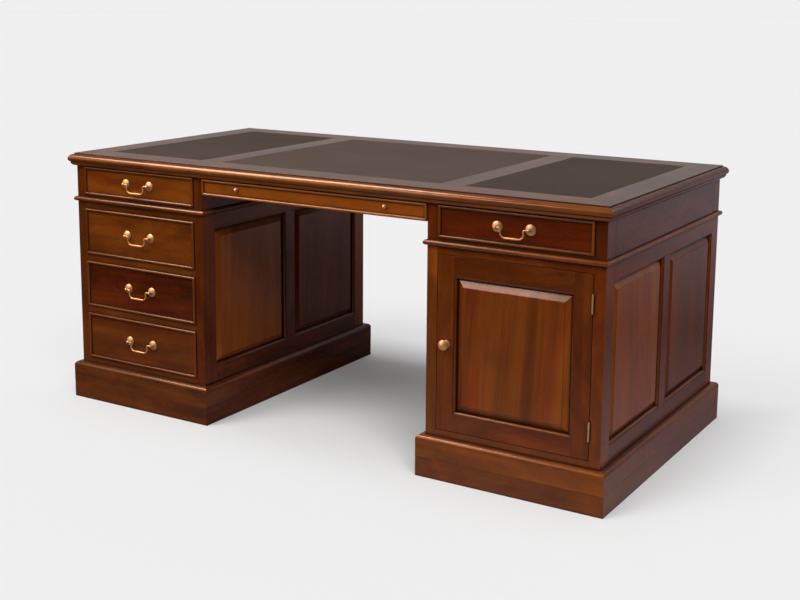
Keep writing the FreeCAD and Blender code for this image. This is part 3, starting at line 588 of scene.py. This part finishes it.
def marks_group():
    """Worn arrises and painted highlights on crests, and painted shade in corners and creases,
    broken up by noise; on brass the shade mask marks grime.
    """
    tree, given, out = group(
        "Wear",
        [("Place", "Vector"), ("Edge", "Float"), ("Open", "Float"), ("Quirk", "Float")],
        [("Rubbed", "Float"), ("Wax", "Float"), ("Quirk", "Float"), ("Smears", "Float")],
    )
    patchy = noise(tree, given["Place"], 3.0, 0.6, scale=14.0)
    patches = ranged(tree, patchy, 0.35, 0.62, 0.35, 1.0)
    quirk = ranged(tree, maths(tree, "SUBTRACT", 1.0, given["Quirk"]), 0.02, 0.13)
    shut = ranged(tree, maths(tree, "SUBTRACT", 1.0, given["Open"]), 0.12, 0.55)
    shut = maths(tree, "MAXIMUM", shut, quirk)
    fill(tree, out, {
        # Worn arrises and painted highlights on crests, patchy
        "Rubbed": maths(tree, "MULTIPLY", given["Edge"], patches),
        # Painted shade, patchy, where corners and quirks close in; on brass the same mask marks
        # grime
        "Wax": maths(tree, "MULTIPLY", shut, ranged(tree, patchy, 0.3, 0.6, 0.75, 1.0)),
        "Quirk": quirk,
        "Smears": noise(tree, given["Place"], 4.0, 0.65, 0.8, scale=5.0),
    })
    return tree


# -------------------------------------------------------------- materials


class WoodFinish(NamedTuple):
    """How one kind of wood is coloured and polished."""

    dark: tuple
    middle: tuple
    light: tuple
    red: tuple         # what the wood is multiplied by where it is reddest
    corner_shade: tuple         # colour of the painted shade in corners and creases
    rub_and_highlight: tuple      # colour of worn arrises and of painted highlights on crests
    rough: float
    gloss: float
    sheen: tuple       # tint of what shows in the polish
    pore_depth: float


SMEAR_ROUGHNESS = 0.16   # from the smoothest smear to the roughest
DARK_AT, MIDDLE_AT, LIGHT_AT = 0.08, 0.47, 0.92   # where the figure has each grain colour

# How far into a corner the painted shade on wood and the grime on brass reach, and with how many
# rays that is found
CORNER = (0.011, 8)
QUIRK = (0.004, 6)
BRASS_CORNER = (0.006, 6)

# How often a pattern varies in a metre, and how high it stands
TARNISH_RATE = 60.0
CASTING_RATE, CASTING_HEIGHT = 900.0, 0.00002
PEBBLE_RATE, PEBBLE_HEIGHT = 900.0, 0.00008
CREASE_RATE = 130.0
HIDE_CLOUD_RATE = 3.0

METALLIC_BRASS = 0.85
SMOOTHEST_HIDE = 0.52


def new_material(name):
    """A material's tree with its Principled shader."""
    material = bpy.data.materials.new(name)
    material.use_nodes = True
    tree = material.node_tree
    return material, tree, tree.nodes["Principled BSDF"]


def wood_material(name, groups, finish):
    """Polished or plain wood that follows each board's own grain."""
    material, tree, shader = new_material(name)
    place = attribute(tree, "grain", "Vector")
    figure = place_group(tree, groups["figure"], {
        "Place": place, "Tone": attribute(tree, "tone"), "Wide": attribute(tree, "wide"),
        "Red": attribute(tree, "red"),
    })
    marks = place_group(tree, groups["marks"], {
        "Place": place, "Edge": attribute(tree, "arris"),
        "Open": openness(tree, *CORNER), "Quirk": openness(tree, *QUIRK),
    })
    ramp = put(tree, "ValToRGB", {"Fac": figure["Figure"]})
    steps = ramp.color_ramp.elements
    steps[0].position, steps[1].position = DARK_AT, LIGHT_AT
    steps[0].color, steps[1].color = rgba(finish.dark), rgba(finish.light)
    steps.new(MIDDLE_AT).color = rgba(finish.middle)
    colour = ramp.outputs[0]
    layers = (
        (figure["Warmth"], 0.85, finish.red, "MULTIPLY"),
        (figure["Pores"], 0.3, finish.dark, "MIX"),
        # Worn arrises, and painted highlights on crests, in a lighter colour
        (marks["Rubbed"], 0.55, finish.rub_and_highlight, "MIX"),
        # Painted shade in corners and creases
        (marks["Wax"], 0.92, finish.corner_shade, "MIX"),
    )
    for where, share, over, blend in layers:
        colour = mixed(tree, maths(tree, "MULTIPLY", where, share), colour, rgba(over), blend)
    smoothest = finish.rough - SMEAR_ROUGHNESS / 2
    uneven = maths(tree, "MULTIPLY_ADD", marks["Smears"], SMEAR_ROUGHNESS, smoothest)
    changes = (
        (figure["Pores"], 0.12), (marks["Rubbed"], -0.1), (marks["Wax"], 0.05),
        (marks["Quirk"], 0.5),
    )
    for where, change in changes:
        uneven = maths(tree, "MULTIPLY_ADD", where, change, uneven)
    fill(tree, shader.inputs, {
        "Base Color": colour,
        "Roughness": uneven,
        "Normal": bumped(tree, figure["Relief"], finish.pore_depth),
        "Specular Tint": rgba(finish.sheen),
        "Specular IOR Level": finish.gloss,
    })
    return material


def brass_material(groups, trim):
    """Aged brass: pale gold, browner and duller where hands don't reach."""
    material, tree, shader = new_material("brass_aged")
    place = put(tree, "TexCoord").outputs["Object"]
    marks = place_group(tree, groups["marks"], {
        "Place": place, "Edge": 0.0, "Open": openness(tree, *BRASS_CORNER), "Quirk": 1.0,
    })
    tarnish = noise(tree, place, 4.0, 0.6, scale=TARNISH_RATE)
    browned = ranged(tree, tarnish, 0.35, 0.7)
    colour = mixed(tree, browned, rgba(trim.brass), rgba(trim.tarnish))
    grimy = maths(tree, "MULTIPLY", marks["Wax"], 0.85)
    casting = noise(tree, place, 2.0, 0.5, scale=CASTING_RATE)
    fill(tree, shader.inputs, {
        "Base Color": mixed(tree, grimy, colour, rgba(trim.grime)),
        "Metallic": METALLIC_BRASS,
        "Roughness": ranged(tree, tarnish, 0.3, 0.7, 0.48, 0.58),
        "Normal": bumped(tree, casting, CASTING_HEIGHT),
    })
    return material


def leather_material(groups, trim):
    """Dark olive-brown hide with a fine pebbled grain."""
    material, tree, shader = new_material("leather_hide")
    place = put(tree, "TexCoord").outputs["Object"]
    marks = place_group(tree, groups["marks"], {
        "Place": place, "Edge": 0.0, "Open": 1.0, "Quirk": 1.0,
    })
    pebbles = put(tree, "TexVoronoi", {
        "Vector": place, "Scale": PEBBLE_RATE, "Randomness": 1.0,
    }, feature="SMOOTH_F1").outputs["Distance"]
    creases = noise(tree, place, 3.0, 0.6, 0.4, scale=CREASE_RATE)
    clouds = noise(tree, place, 3.0, 0.55, scale=HIDE_CLOUD_RATE)
    cloudy = ranged(tree, clouds, 0.3, 0.7, -0.2, 0.2)
    pale = maths(tree, "ADD", cloudy, attribute(tree, "tone"))
    colour = mixed(tree, pale, rgba(trim.dark_hide), rgba(trim.hide))
    low = ranged(tree, pebbles, 0.1, 0.7, 0.0, 0.3)
    height = maths(tree, "MULTIPLY_ADD", creases, 0.8, maths(tree, "SUBTRACT", 1.0, pebbles))
    fill(tree, shader.inputs, {
        "Base Color": mixed(tree, low, colour, rgba(trim.pebble)),
        "Roughness": maths(tree, "MULTIPLY_ADD", marks["Smears"], SMEAR_ROUGHNESS, SMOOTHEST_HIDE),
        "Specular IOR Level": 0.3,
        "Normal": bumped(tree, height, PEBBLE_HEIGHT),
    })
    return material


def finishes(context):
    """The object's materials, made once."""
    if "mahogany_polished" not in bpy.data.materials:
        wood, trim = context.scene.desk_wood, context.scene.desk_trim
        groups = {"figure": figure_group(wood.stave), "marks": marks_group()}
        wood_material("mahogany_polished", groups, WoodFinish(
            dark=wood.dark, middle=wood.middle, light=wood.light,
            red=(0.9, 0.44, 0.34), corner_shade=(0.006, 0.0018, 0.0006), rub_and_highlight=(0.36, 0.105, 0.014),
            rough=0.2, gloss=0.5, sheen=(1.0, 0.8, 0.68), pore_depth=0.000015,
        ))
        pale = Vector(wood.lining)
        wood_material("lining_wood", groups, WoodFinish(
            dark=pale * 0.45, middle=pale, light=pale * 1.35,
            red=(1.0, 0.92, 0.85), corner_shade=(0.05, 0.03, 0.015), rub_and_highlight=pale * 1.3,
            rough=0.6, gloss=0.35, sheen=(1.0, 0.9, 0.8), pore_depth=0.00008,
        ))
        brass_material(groups, trim)
        leather_material(groups, trim)
    return bpy.data.materials


# ------------------------------------------------------------------ pieces


def show(name, shape, body, material, nodes=()):
    """A bmesh made a piece of the desk, smooth but for its sharp edges."""
    for face in shape.faces:
        face.smooth = True
    for edge in shape.edges:
        edge.smooth = len(edge.link_faces) == 2 and edge.calc_face_angle() < SHARP
    mesh = bpy.data.meshes.new(name)
    shape.to_mesh(mesh)
    shape.free()
    piece = bpy.data.objects.new(name, mesh)
    bpy.context.scene.collection.objects.link(piece)
    mesh.materials.append(material)
    even = piece.modifiers.new("Even faces", "WEIGHTED_NORMAL")
    even.keep_sharp = True
    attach(piece, body)
    if nodes:
        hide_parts(*nodes)
    return piece


def solids(node):
    """Each closed solid of a CAD node as a bmesh of its own, in the node's order."""
    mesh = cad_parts[node].data
    corner = [tuple(round(c, 6) for c in v.co) for v in mesh.vertices]
    ranges, first, waiting = [], 0, set()
    for face in mesh.polygons:
        corners = [corner[i] for i in face.vertices]
        for a, b in zip(corners, corners[1:] + corners[:1]):
            if (b, a) in waiting:
                waiting.remove((b, a))
            else:
                waiting.add((a, b))
        if not waiting:
            ranges.append((first, face.index + 1))
            first = face.index + 1
    if waiting:
        raise RuntimeError(f"{node} has a solid that isn't closed")
    return [one_solid(mesh, first, last) for first, last in ranges]


def one_solid(mesh, first, last):
    """Some faces of a mesh, joined up, with each flat side made one face."""
    one = bmesh.new()
    one.from_mesh(mesh)
    others = [f for f in one.faces if not first <= f.index < last]
    bmesh.ops.delete(one, geom=others, context="FACES")
    bmesh.ops.remove_doubles(one, verts=one.verts, dist=MERGED)
    bmesh.ops.dissolve_limit(one, angle_limit=FLAT, verts=one.verts, edges=one.edges)
    return one


def extent(shape):
    """The lowest and highest corner of a bmesh."""
    return [
        Vector([pick(v.co[k] for v in shape.verts) for k in range(3)])
        for pick in (min, max)
    ]


def ease(board, arris):
    """Takes the sharpness off a board's longer edges. Returns the new faces."""
    edges = [
        e for e in board.edges
        if len(e.link_faces) == 2
        and e.calc_face_angle() > EASED
        and e.calc_length() > SHORTEST_EASED
    ]
    if not edges:
        return set()
    made = bmesh.ops.bevel(
        board, geom=edges, offset=arris, offset_type="OFFSET", affect="EDGES",
        segments=2, profile=0.5, material=-1, clamp_overlap=True, loop_slide=True,
    )
    return set(made["faces"])


def grained(board, key, look, arris, crest):
    """Eases a board's edges and gives it its own grain, along its longest side.

    look is its tone and redness, and crest is how strongly its upright faces take a painted
    highlight.
    """
    tone, red = look
    low, high = extent(board)
    size = high - low
    order = sorted(range(3), key=lambda k: -size[k])
    eased = ease(board, arris)
    chance = random.Random(key)
    offset = Vector([chance.uniform(-TREE_REACH, TREE_REACH) for _ in range(3)])
    tone += chance.uniform(-TONE_PLAY, TONE_PLAY)
    red += chance.uniform(-RED_PLAY, RED_PLAY)
    slope = chance.uniform(-SLOPE_PLAY, SLOPE_PLAY)
    wide = 1.0 if size[order[1]] > WIDE_BOARD else 0.0
    centre = (low + high) / 2
    place = board.verts.layers.float_vector.new("grain")
    tones = board.verts.layers.float.new("tone")
    wides = board.verts.layers.float.new("wide")
    reds = board.verts.layers.float.new("red")
    edge = board.faces.layers.float.new("arris")
    for v in board.verts:
        here = v.co - centre
        here = Vector([here[k] for k in order])
        here.y += here.x * slope
        v[place] = here + offset
        v[tones] = tone
        v[wides] = wide
        v[reds] = red
    # Eased arrises count as worn; upright faces take crest, a painted highlight
    for f in board.faces:
        f[edge] = 1.0 if f in eased else crest * (abs(f.normal.z) < LEVEL)
    return board


def joined(boards):
    """Several bmeshes as one."""
    whole = bmesh.new()
    for board in boards:
        part = bpy.data.meshes.new("part")
        board.to_mesh(part)
        board.free()
        whole.from_mesh(part)
        bpy.data.meshes.remove(part)
    return whole


def wooden(
    name, node, body, look, arris,
    slot="mahogany", take=None, looks=None, crests=None, replace=True,
):
    """A piece cut from a CAD node's boards, or from those in take.

    look is the boards' tone and redness, looks and crests those of single boards.
    """
    boards = []
    for i, board in enumerate(solids(node)):
        if take is not None and i not in take:
            board.free()
            continue
        own_look = (looks or {}).get(i, look)
        crest = (crests or {}).get(i, 0.0)
        boards.append(grained(board, f"{node}{i}", own_look, arris, crest))
    material = bpy.data.materials[WOODS[slot]]
    return show(name, joined(boards), body, material, [node] if replace else ())


def lined(name, node, body, arris, **choices):
    """A piece of the plain wood inside, cut from a CAD node's boards."""
    return wooden(name, node, body, PLAIN, arris, slot="drawer_lining", **choices)


class DESK_OT_top(bpy.types.Operator):
    """Frames the top, lays its boards and leathers, and runs the band under its edge"""

    bl_idname = "desk.top"
    bl_label = "Top"
    bl_options = {"REGISTER", "UNDO"}

    def execute(self, context):
        materials = finishes(context)
        arris = context.scene.desk_wood.arris
        darker = dict.fromkeys((RIGHT, LEFT, CROSS_RAIL_RIGHT), LOOKS["top_ends"])
        wooden(
            "top_border", "top_frame", "carcase", LOOKS["top_frame"], arris * FINE_ARRIS,
            looks=darker, crests=EDGE_HIGHLIGHT,
        )
        wooden(
            "top_band_moulding", "top_band", "carcase", LOOKS["top_band"], arris * FINE_ARRIS,
            crests=EDGE_HIGHLIGHT,
        )
        lined("top_ground", "top_boards", "carcase", arris)
        hides = solids("top_leathers")
        for hide, tone in zip(hides, HIDE_TONES):
            ease(hide, HIDE_ARRIS)
            pale = hide.verts.layers.float.new("tone")
            for v in hide.verts:
                v[pale] = tone
        leather = materials["leather_hide"]
        show("top_hides", joined(hides), "carcase", leather, ["top_leathers"])
        return {"FINISHED"}


class DESK_OT_carcase(bpy.types.Operator):
    """Builds the frieze, the pedestals, their panels and mouldings, and the plinths"""

    bl_idname = "desk.carcase"
    bl_label = "Carcase"
    bl_options = {"REGISTER", "UNDO"}

    def execute(self, context):
        finishes(context)
        arris = context.scene.desk_wood.arris
        wooden(
            "frieze_rails", "frieze_frame", "carcase", LOOKS["frieze_frame"], arris,
            looks=dict.fromkeys(FRIEZE_ENDS, LOOKS["end_boards"]),
        )
        lined("frieze_runners", "frieze_inside", "carcase", arris)
        wooden(
            "waist_beads", "waist_mouldings", "carcase", LOOKS["waist_mouldings"],
            arris * WAIST_ARRIS, crests=dict.fromkeys(WAIST_LENGTHS, UPRIGHT_HIGHLIGHT["waist"]),
        )
        for side in PEDESTALS:
            self.pedestal(side, arris)
            self.plinth(side, arris)
        return {"FINISHED"}

    def pedestal(self, side, arris):
        """One pedestal's frame, panels, mouldings and inside."""
        posts_and_rails = {
            KNEE_POST_DRAWERS: LOOKS["knee_post_drawers"],
            KNEE_POST_DOOR: LOOKS["knee_post_door"],
            **dict.fromkeys(END_RAILS, LOOKS["end_rails"]),
            **dict.fromkeys(KNEE_RAILS, LOOKS["knee_rails"]),
        }
        panels = {
            KNEE_PANEL_DRAWERS: LOOKS["knee_panel_drawers"],
            KNEE_PANEL_DOOR: LOOKS["knee_panel_door"],
            END_PANEL_DOOR: LOOKS["end_panel_door"],
            END_PANEL_DRAWERS: LOOKS["end_panel_drawers"],
        }
        parts = (
            ("frame", 1.0, posts_and_rails), ("panels", PANEL_ARRIS, panels),
            ("mouldings", FINE_ARRIS, None),
        )
        for part, share, looks in parts:
            node = f"pedestal_{side}_{part}"
            wooden(f"{node}_boards", node, "carcase", LOOKS[node], arris * share, looks=looks)
        node = f"pedestal_{side}_inside"
        lined(f"{node}_boards", node, "carcase", arris)

    def plinth(self, side, arris):
        """One plinth, whose boards differ in tone."""
        node = f"plinth_{side}"
        tone, red = LOOKS[node]
        wooden(
            f"{node}_boards", node, "carcase", (tone, red), arris * PLINTH_ARRIS,
            looks={i: (tone - less, red) for i, less in PLINTH_SHADE.items()},
        )


class DESK_OT_drawers(bpy.types.Operator):
    """Builds the drawers, with cock-beaded fronts and pale linings"""

    bl_idname = "desk.drawers"
    bl_label = "Drawers"
    bl_options = {"REGISTER", "UNDO"}

    def execute(self, context):
        finishes(context)
        arris = context.scene.desk_wood.arris
        for side in SIDES:
            for name in DRAWERS:
                node = f"drawer_{side}_{name}"
                # The centre drawer's beads are lighter and take more painted highlight
                bead = "highlight_bead" if name == "top_centre" else "bead"
                wooden(
                    f"drawer_front_board_{side}_{name}", node, node, LOOKS[name], arris,
                    take={DRAWER_FRONT, *DRAWER_BEADS},
                    looks=dict.fromkeys(DRAWER_BEADS, LOOKS[bead]),
                    crests={
                        DRAWER_FRONT: UPRIGHT_HIGHLIGHT.get(name, 0.0),
                        **dict.fromkeys(DRAWER_BEADS, UPRIGHT_HIGHLIGHT[bead]),
                    },
                )
                lined(
                    f"drawer_box_{side}_{name}", node, node, arris * FINE_ARRIS,
                    take=DRAWER_LININGS, replace=False,
                )
        return {"FINISHED"}


class DESK_OT_doors(bpy.types.Operator):
    """Frames and panels the two cupboard doors"""

    bl_idname = "desk.doors"
    bl_label = "Doors"
    bl_options = {"REGISTER", "UNDO"}

    def execute(self, context):
        finishes(context)
        arris = context.scene.desk_wood.arris
        for side in SIDES:
            body = f"door_{side}"
            wooden(f"door_framing_{side}", f"{body}_frame", body, LOOKS["door_frame"], arris)
            wooden(
                f"door_panelling_{side}", f"{body}_panel", body, LOOKS["door_panel"],
                arris * PANEL_ARRIS, looks=dict.fromkeys(DOOR_MOULDINGS, LOOKS["bead"]),
            )
        return {"FINISHED"}


class DESK_OT_brass(bpy.types.Operator):
    """Gives the handles, knobs and hinges their brass"""

    bl_idname = "desk.brass"
    bl_label = "Brass"
    bl_options = {"REGISTER", "UNDO"}

    def execute(self, context):
        brass = finishes(context)["brass_aged"]
        for name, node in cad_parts.items():
            if any(word in name for word in BRASS_WORDS):
                node.data.materials.clear()
                node.data.materials.append(brass)
        return {"FINISHED"}


# ------------------------------------------------------------------- stage

FLOOR_RADIUS = 60
VIEW_END = 200                        # how far the camera sees
HALF_LENGTH, HALF_DEPTH = 0.9, 0.45   # of the desk
SHADE_SPAN = (-0.05, 0.24)            # where its shade begins to fade and ends, past its edge
SHADE_GLOW = (0.07, 0.6)              # how much the paper glows in that shade and beyond it
BRIGHT_SPOT = (0.6, -0.3, 0.0)        # where the polish shows the floor brightest
BRIGHT_SPOT_LIGHT = 0.8
BRIGHT_SPOT_FALL = -1.1               # how fast that brightness falls off, per metre
FAR_FLOOR = (0.5, 3.5)                # how far back the floor brightens again
FAR_FLOOR_LIGHT = 0.34
TINT_CHANGE = (-0.5, 0.1)             # where the near tint ends and the far one begins
PANEL_AIM = Vector((0, -0.45, 0.6))   # what the panels are turned towards
SUNS = ("key", "side", "top")
PANELS = ("gleam", "wash", "glow", "rim")


def paper_glow(tree, spot):
    """How far the camera sees the paper lit from behind: least under the desk."""
    off = parted(tree, vector_maths(tree, "ABSOLUTE", spot))
    past = maths(
        tree, "MAXIMUM", maths(tree, "SUBTRACT", off["X"], HALF_LENGTH),
        maths(tree, "SUBTRACT", off["Y"], HALF_DEPTH),
    )
    return ranged(tree, past, *SHADE_SPAN, *SHADE_GLOW)


def paper_polish(tree, spot, chosen):
    """The floor as the desk's polish shows it: bright near the kneehole and far back."""
    away = vector_maths(tree, "DISTANCE", spot, BRIGHT_SPOT, output="Value")
    near = maths(tree, "EXPONENT", maths(tree, "MULTIPLY", away, BRIGHT_SPOT_FALL))
    near = maths(tree, "MULTIPLY", near, BRIGHT_SPOT_LIGHT)
    depth = parted(tree, spot)["Y"]
    behind = ranged(tree, depth, *FAR_FLOOR, 0.0, FAR_FLOOR_LIGHT)
    light = maths(tree, "MAXIMUM", near, behind)
    further = ranged(tree, depth, *TINT_CHANGE)
    tint = mixed(tree, further, rgba(chosen.near_tint), rgba(chosen.far_tint))
    return mixed(tree, 1.0, tint, light, "MULTIPLY")


def floor_material(chosen):
    """Pale paper, which the camera, the polish and the rest of the desk see differently."""
    material, tree, shader = new_material("floor_paper")
    light = put(tree, "LightPath").outputs
    spot = put(tree, "TexCoord").outputs["Object"]
    lit = paper_glow(tree, spot)
    paper = maths(tree, "DIVIDE", maths(tree, "SUBTRACT", chosen.surround, lit), chosen.paper)
    shade = between(tree, light["Is Camera Ray"], chosen.bounce, paper)
    polish = paper_polish(tree, spot, chosen)
    fill(tree, shader.inputs, {
        "Base Color": mixed(tree, light["Is Glossy Ray"], shade, polish),
        "Roughness": 1.0,
        "Specular IOR Level": 0.0,
        "Emission Strength": maths(tree, "MULTIPLY", light["Is Camera Ray"], lit),
    })
    return material


class DESK_OT_stage(bpy.types.Operator):
    """Lays the floor, lights it and stands the camera"""

    bl_idname = "desk.stage"
    bl_label = "Stage"
    bl_options = {"REGISTER", "UNDO"}

    def execute(self, context):
        scene, chosen = context.scene, context.scene.desk_stage
        self.camera(scene, chosen)
        self.floor(scene, chosen)
        self.lamps(scene, chosen)
        self.panels(scene, chosen)
        self.surround(scene, chosen)
        scene.view_settings.view_transform = "Standard"
        return {"FINISHED"}

    def camera(self, scene, chosen):
        """The camera, turned, then dipped, then leaned."""
        data = bpy.data.cameras.new("camera")
        data.lens, data.sensor_width, data.shift_y = chosen.lens, 36, chosen.rise
        data.clip_end = VIEW_END
        camera = bpy.data.objects.new("camera", data)
        camera.matrix_world = (
            Matrix.Translation(chosen.stand)
            @ Matrix.Rotation(chosen.turn, 4, "Z")
            @ Matrix.Rotation(math.pi / 2 - chosen.dip, 4, "X")
            @ Matrix.Rotation(chosen.lean, 4, "Z")
        )
        scene.collection.objects.link(camera)
        scene.camera = camera

    def floor(self, scene, chosen):
        """A wide pale floor that takes the desk's shadow."""
        shape = bmesh.new()
        bmesh.ops.create_circle(shape, cap_ends=True, segments=64, radius=FLOOR_RADIUS)
        mesh = bpy.data.meshes.new("floor")
        shape.to_mesh(mesh)
        shape.free()
        floor = bpy.data.objects.new("floor", mesh)
        scene.collection.objects.link(floor)
        mesh.materials.append(floor_material(chosen))

    def lamps(self, scene, chosen):
        """Soft lamps that light the desk and don't show in its polish."""
        for name in SUNS:
            sun = bpy.data.lights.new(name, "SUN")
            sun.energy = getattr(chosen, name)
            sun.angle = getattr(chosen, f"{name}_size")
            lamp = bpy.data.objects.new(name, sun)
            towards = Vector(getattr(chosen, f"{name}_from"))
            lamp.matrix_world = towards.to_track_quat("Z", "Y").to_matrix().to_4x4()
            lamp.visible_glossy = False
            scene.collection.objects.link(lamp)

    def panels(self, scene, chosen):
        """Panels that gleam in the polish and light nothing else."""
        for name in PANELS:
            panel = bpy.data.lights.new(name, "AREA")
            panel.shape = "RECTANGLE"
            panel.size, panel.size_y = getattr(chosen, f"{name}_size")
            panel.energy = getattr(chosen, name) * panel.size * panel.size_y * math.pi
            panel.color = getattr(chosen, f"{name}_tint", (1, 1, 1))
            lamp = bpy.data.objects.new(name, panel)
            place = Vector(getattr(chosen, f"{name}_place"))
            towards = (place - PANEL_AIM).to_track_quat("Z", "Y")
            lamp.matrix_world = Matrix.LocRotScale(place, towards, None)
            lamp.visible_diffuse = lamp.visible_camera = False
            scene.collection.objects.link(lamp)

    def surround(self, scene, chosen):
        """Even light from all round, stronger from behind, and what the polish mirrors."""
        world = bpy.data.worlds.new("surround")
        world.use_nodes = True
        tree = world.node_tree
        light = put(tree, "LightPath").outputs
        seen = maths(tree, "MAXIMUM", light["Is Camera Ray"], light["Is Transmission Ray"])
        towards = parted(tree, put(tree, "TexCoord").outputs["Generated"])
        brightest = chosen.fill + chosen.back_fill
        filling = ranged(tree, towards["Y"], 0.2, 1.0, chosen.fill, brightest)
        mirrored = ranged(tree, towards["Y"], -0.4, 0.5, 0.06, chosen.mirrored)
        strength = between(tree, light["Is Glossy Ray"], filling, mirrored)
        rightward = ranged(tree, towards["X"], -0.1, 0.2)
        tinted = maths(tree, "MULTIPLY", rightward, light["Is Glossy Ray"])
        fill(tree, tree.nodes["Background"].inputs, {
            "Color": mixed(tree, tinted, (1, 1, 1, 1), rgba(chosen.far_tint)),
            "Strength": between(tree, seen, strength, chosen.surround),
        })
        scene.world = world


# --------------------------------------------------------- panel and start


class DESK_PT_panel(bpy.types.Panel):
    """Settings and pieces of the desk"""

    bl_idname = "DESK_PT_panel"
    bl_label = "Partners desk"
    bl_space_type = "VIEW_3D"
    bl_region_type = "UI"
    bl_category = "Desk"

    def draw(self, context):
        for name, settings in SETTINGS.items():
            box = self.layout.box()
            for setting in settings.__annotations__:
                box.prop(getattr(context.scene, name), setting)
        for operator in OPERATORS:
            self.layout.operator(operator.bl_idname)


SETTINGS = {"desk_wood": DeskWood, "desk_trim": DeskTrim, "desk_stage": DeskStage}
OPERATORS = (
    DESK_OT_top,
    DESK_OT_carcase,
    DESK_OT_drawers,
    DESK_OT_doors,
    DESK_OT_brass,
    DESK_OT_stage,
)
CLASSES = (*SETTINGS.values(), *OPERATORS, DESK_PT_panel)


def register():
    """Adds the desk's classes and settings."""
    for cls in CLASSES:
        bpy.utils.register_class(cls)
    for name, settings in SETTINGS.items():
        setattr(bpy.types.Scene, name, bpy.props.PointerProperty(type=settings))


def unregister():
    """Takes the desk's classes and settings away."""
    for name in SETTINGS:
        delattr(bpy.types.Scene, name)
    for cls in reversed(CLASSES):
        bpy.utils.unregister_class(cls)


def main():
    """Builds everything."""
    register()
    bpy.ops.desk.stage()
    bpy.ops.desk.top()
    bpy.ops.desk.carcase()
    bpy.ops.desk.drawers()
    bpy.ops.desk.doors()
    bpy.ops.desk.brass()


if __name__ == "__main__":
    main()
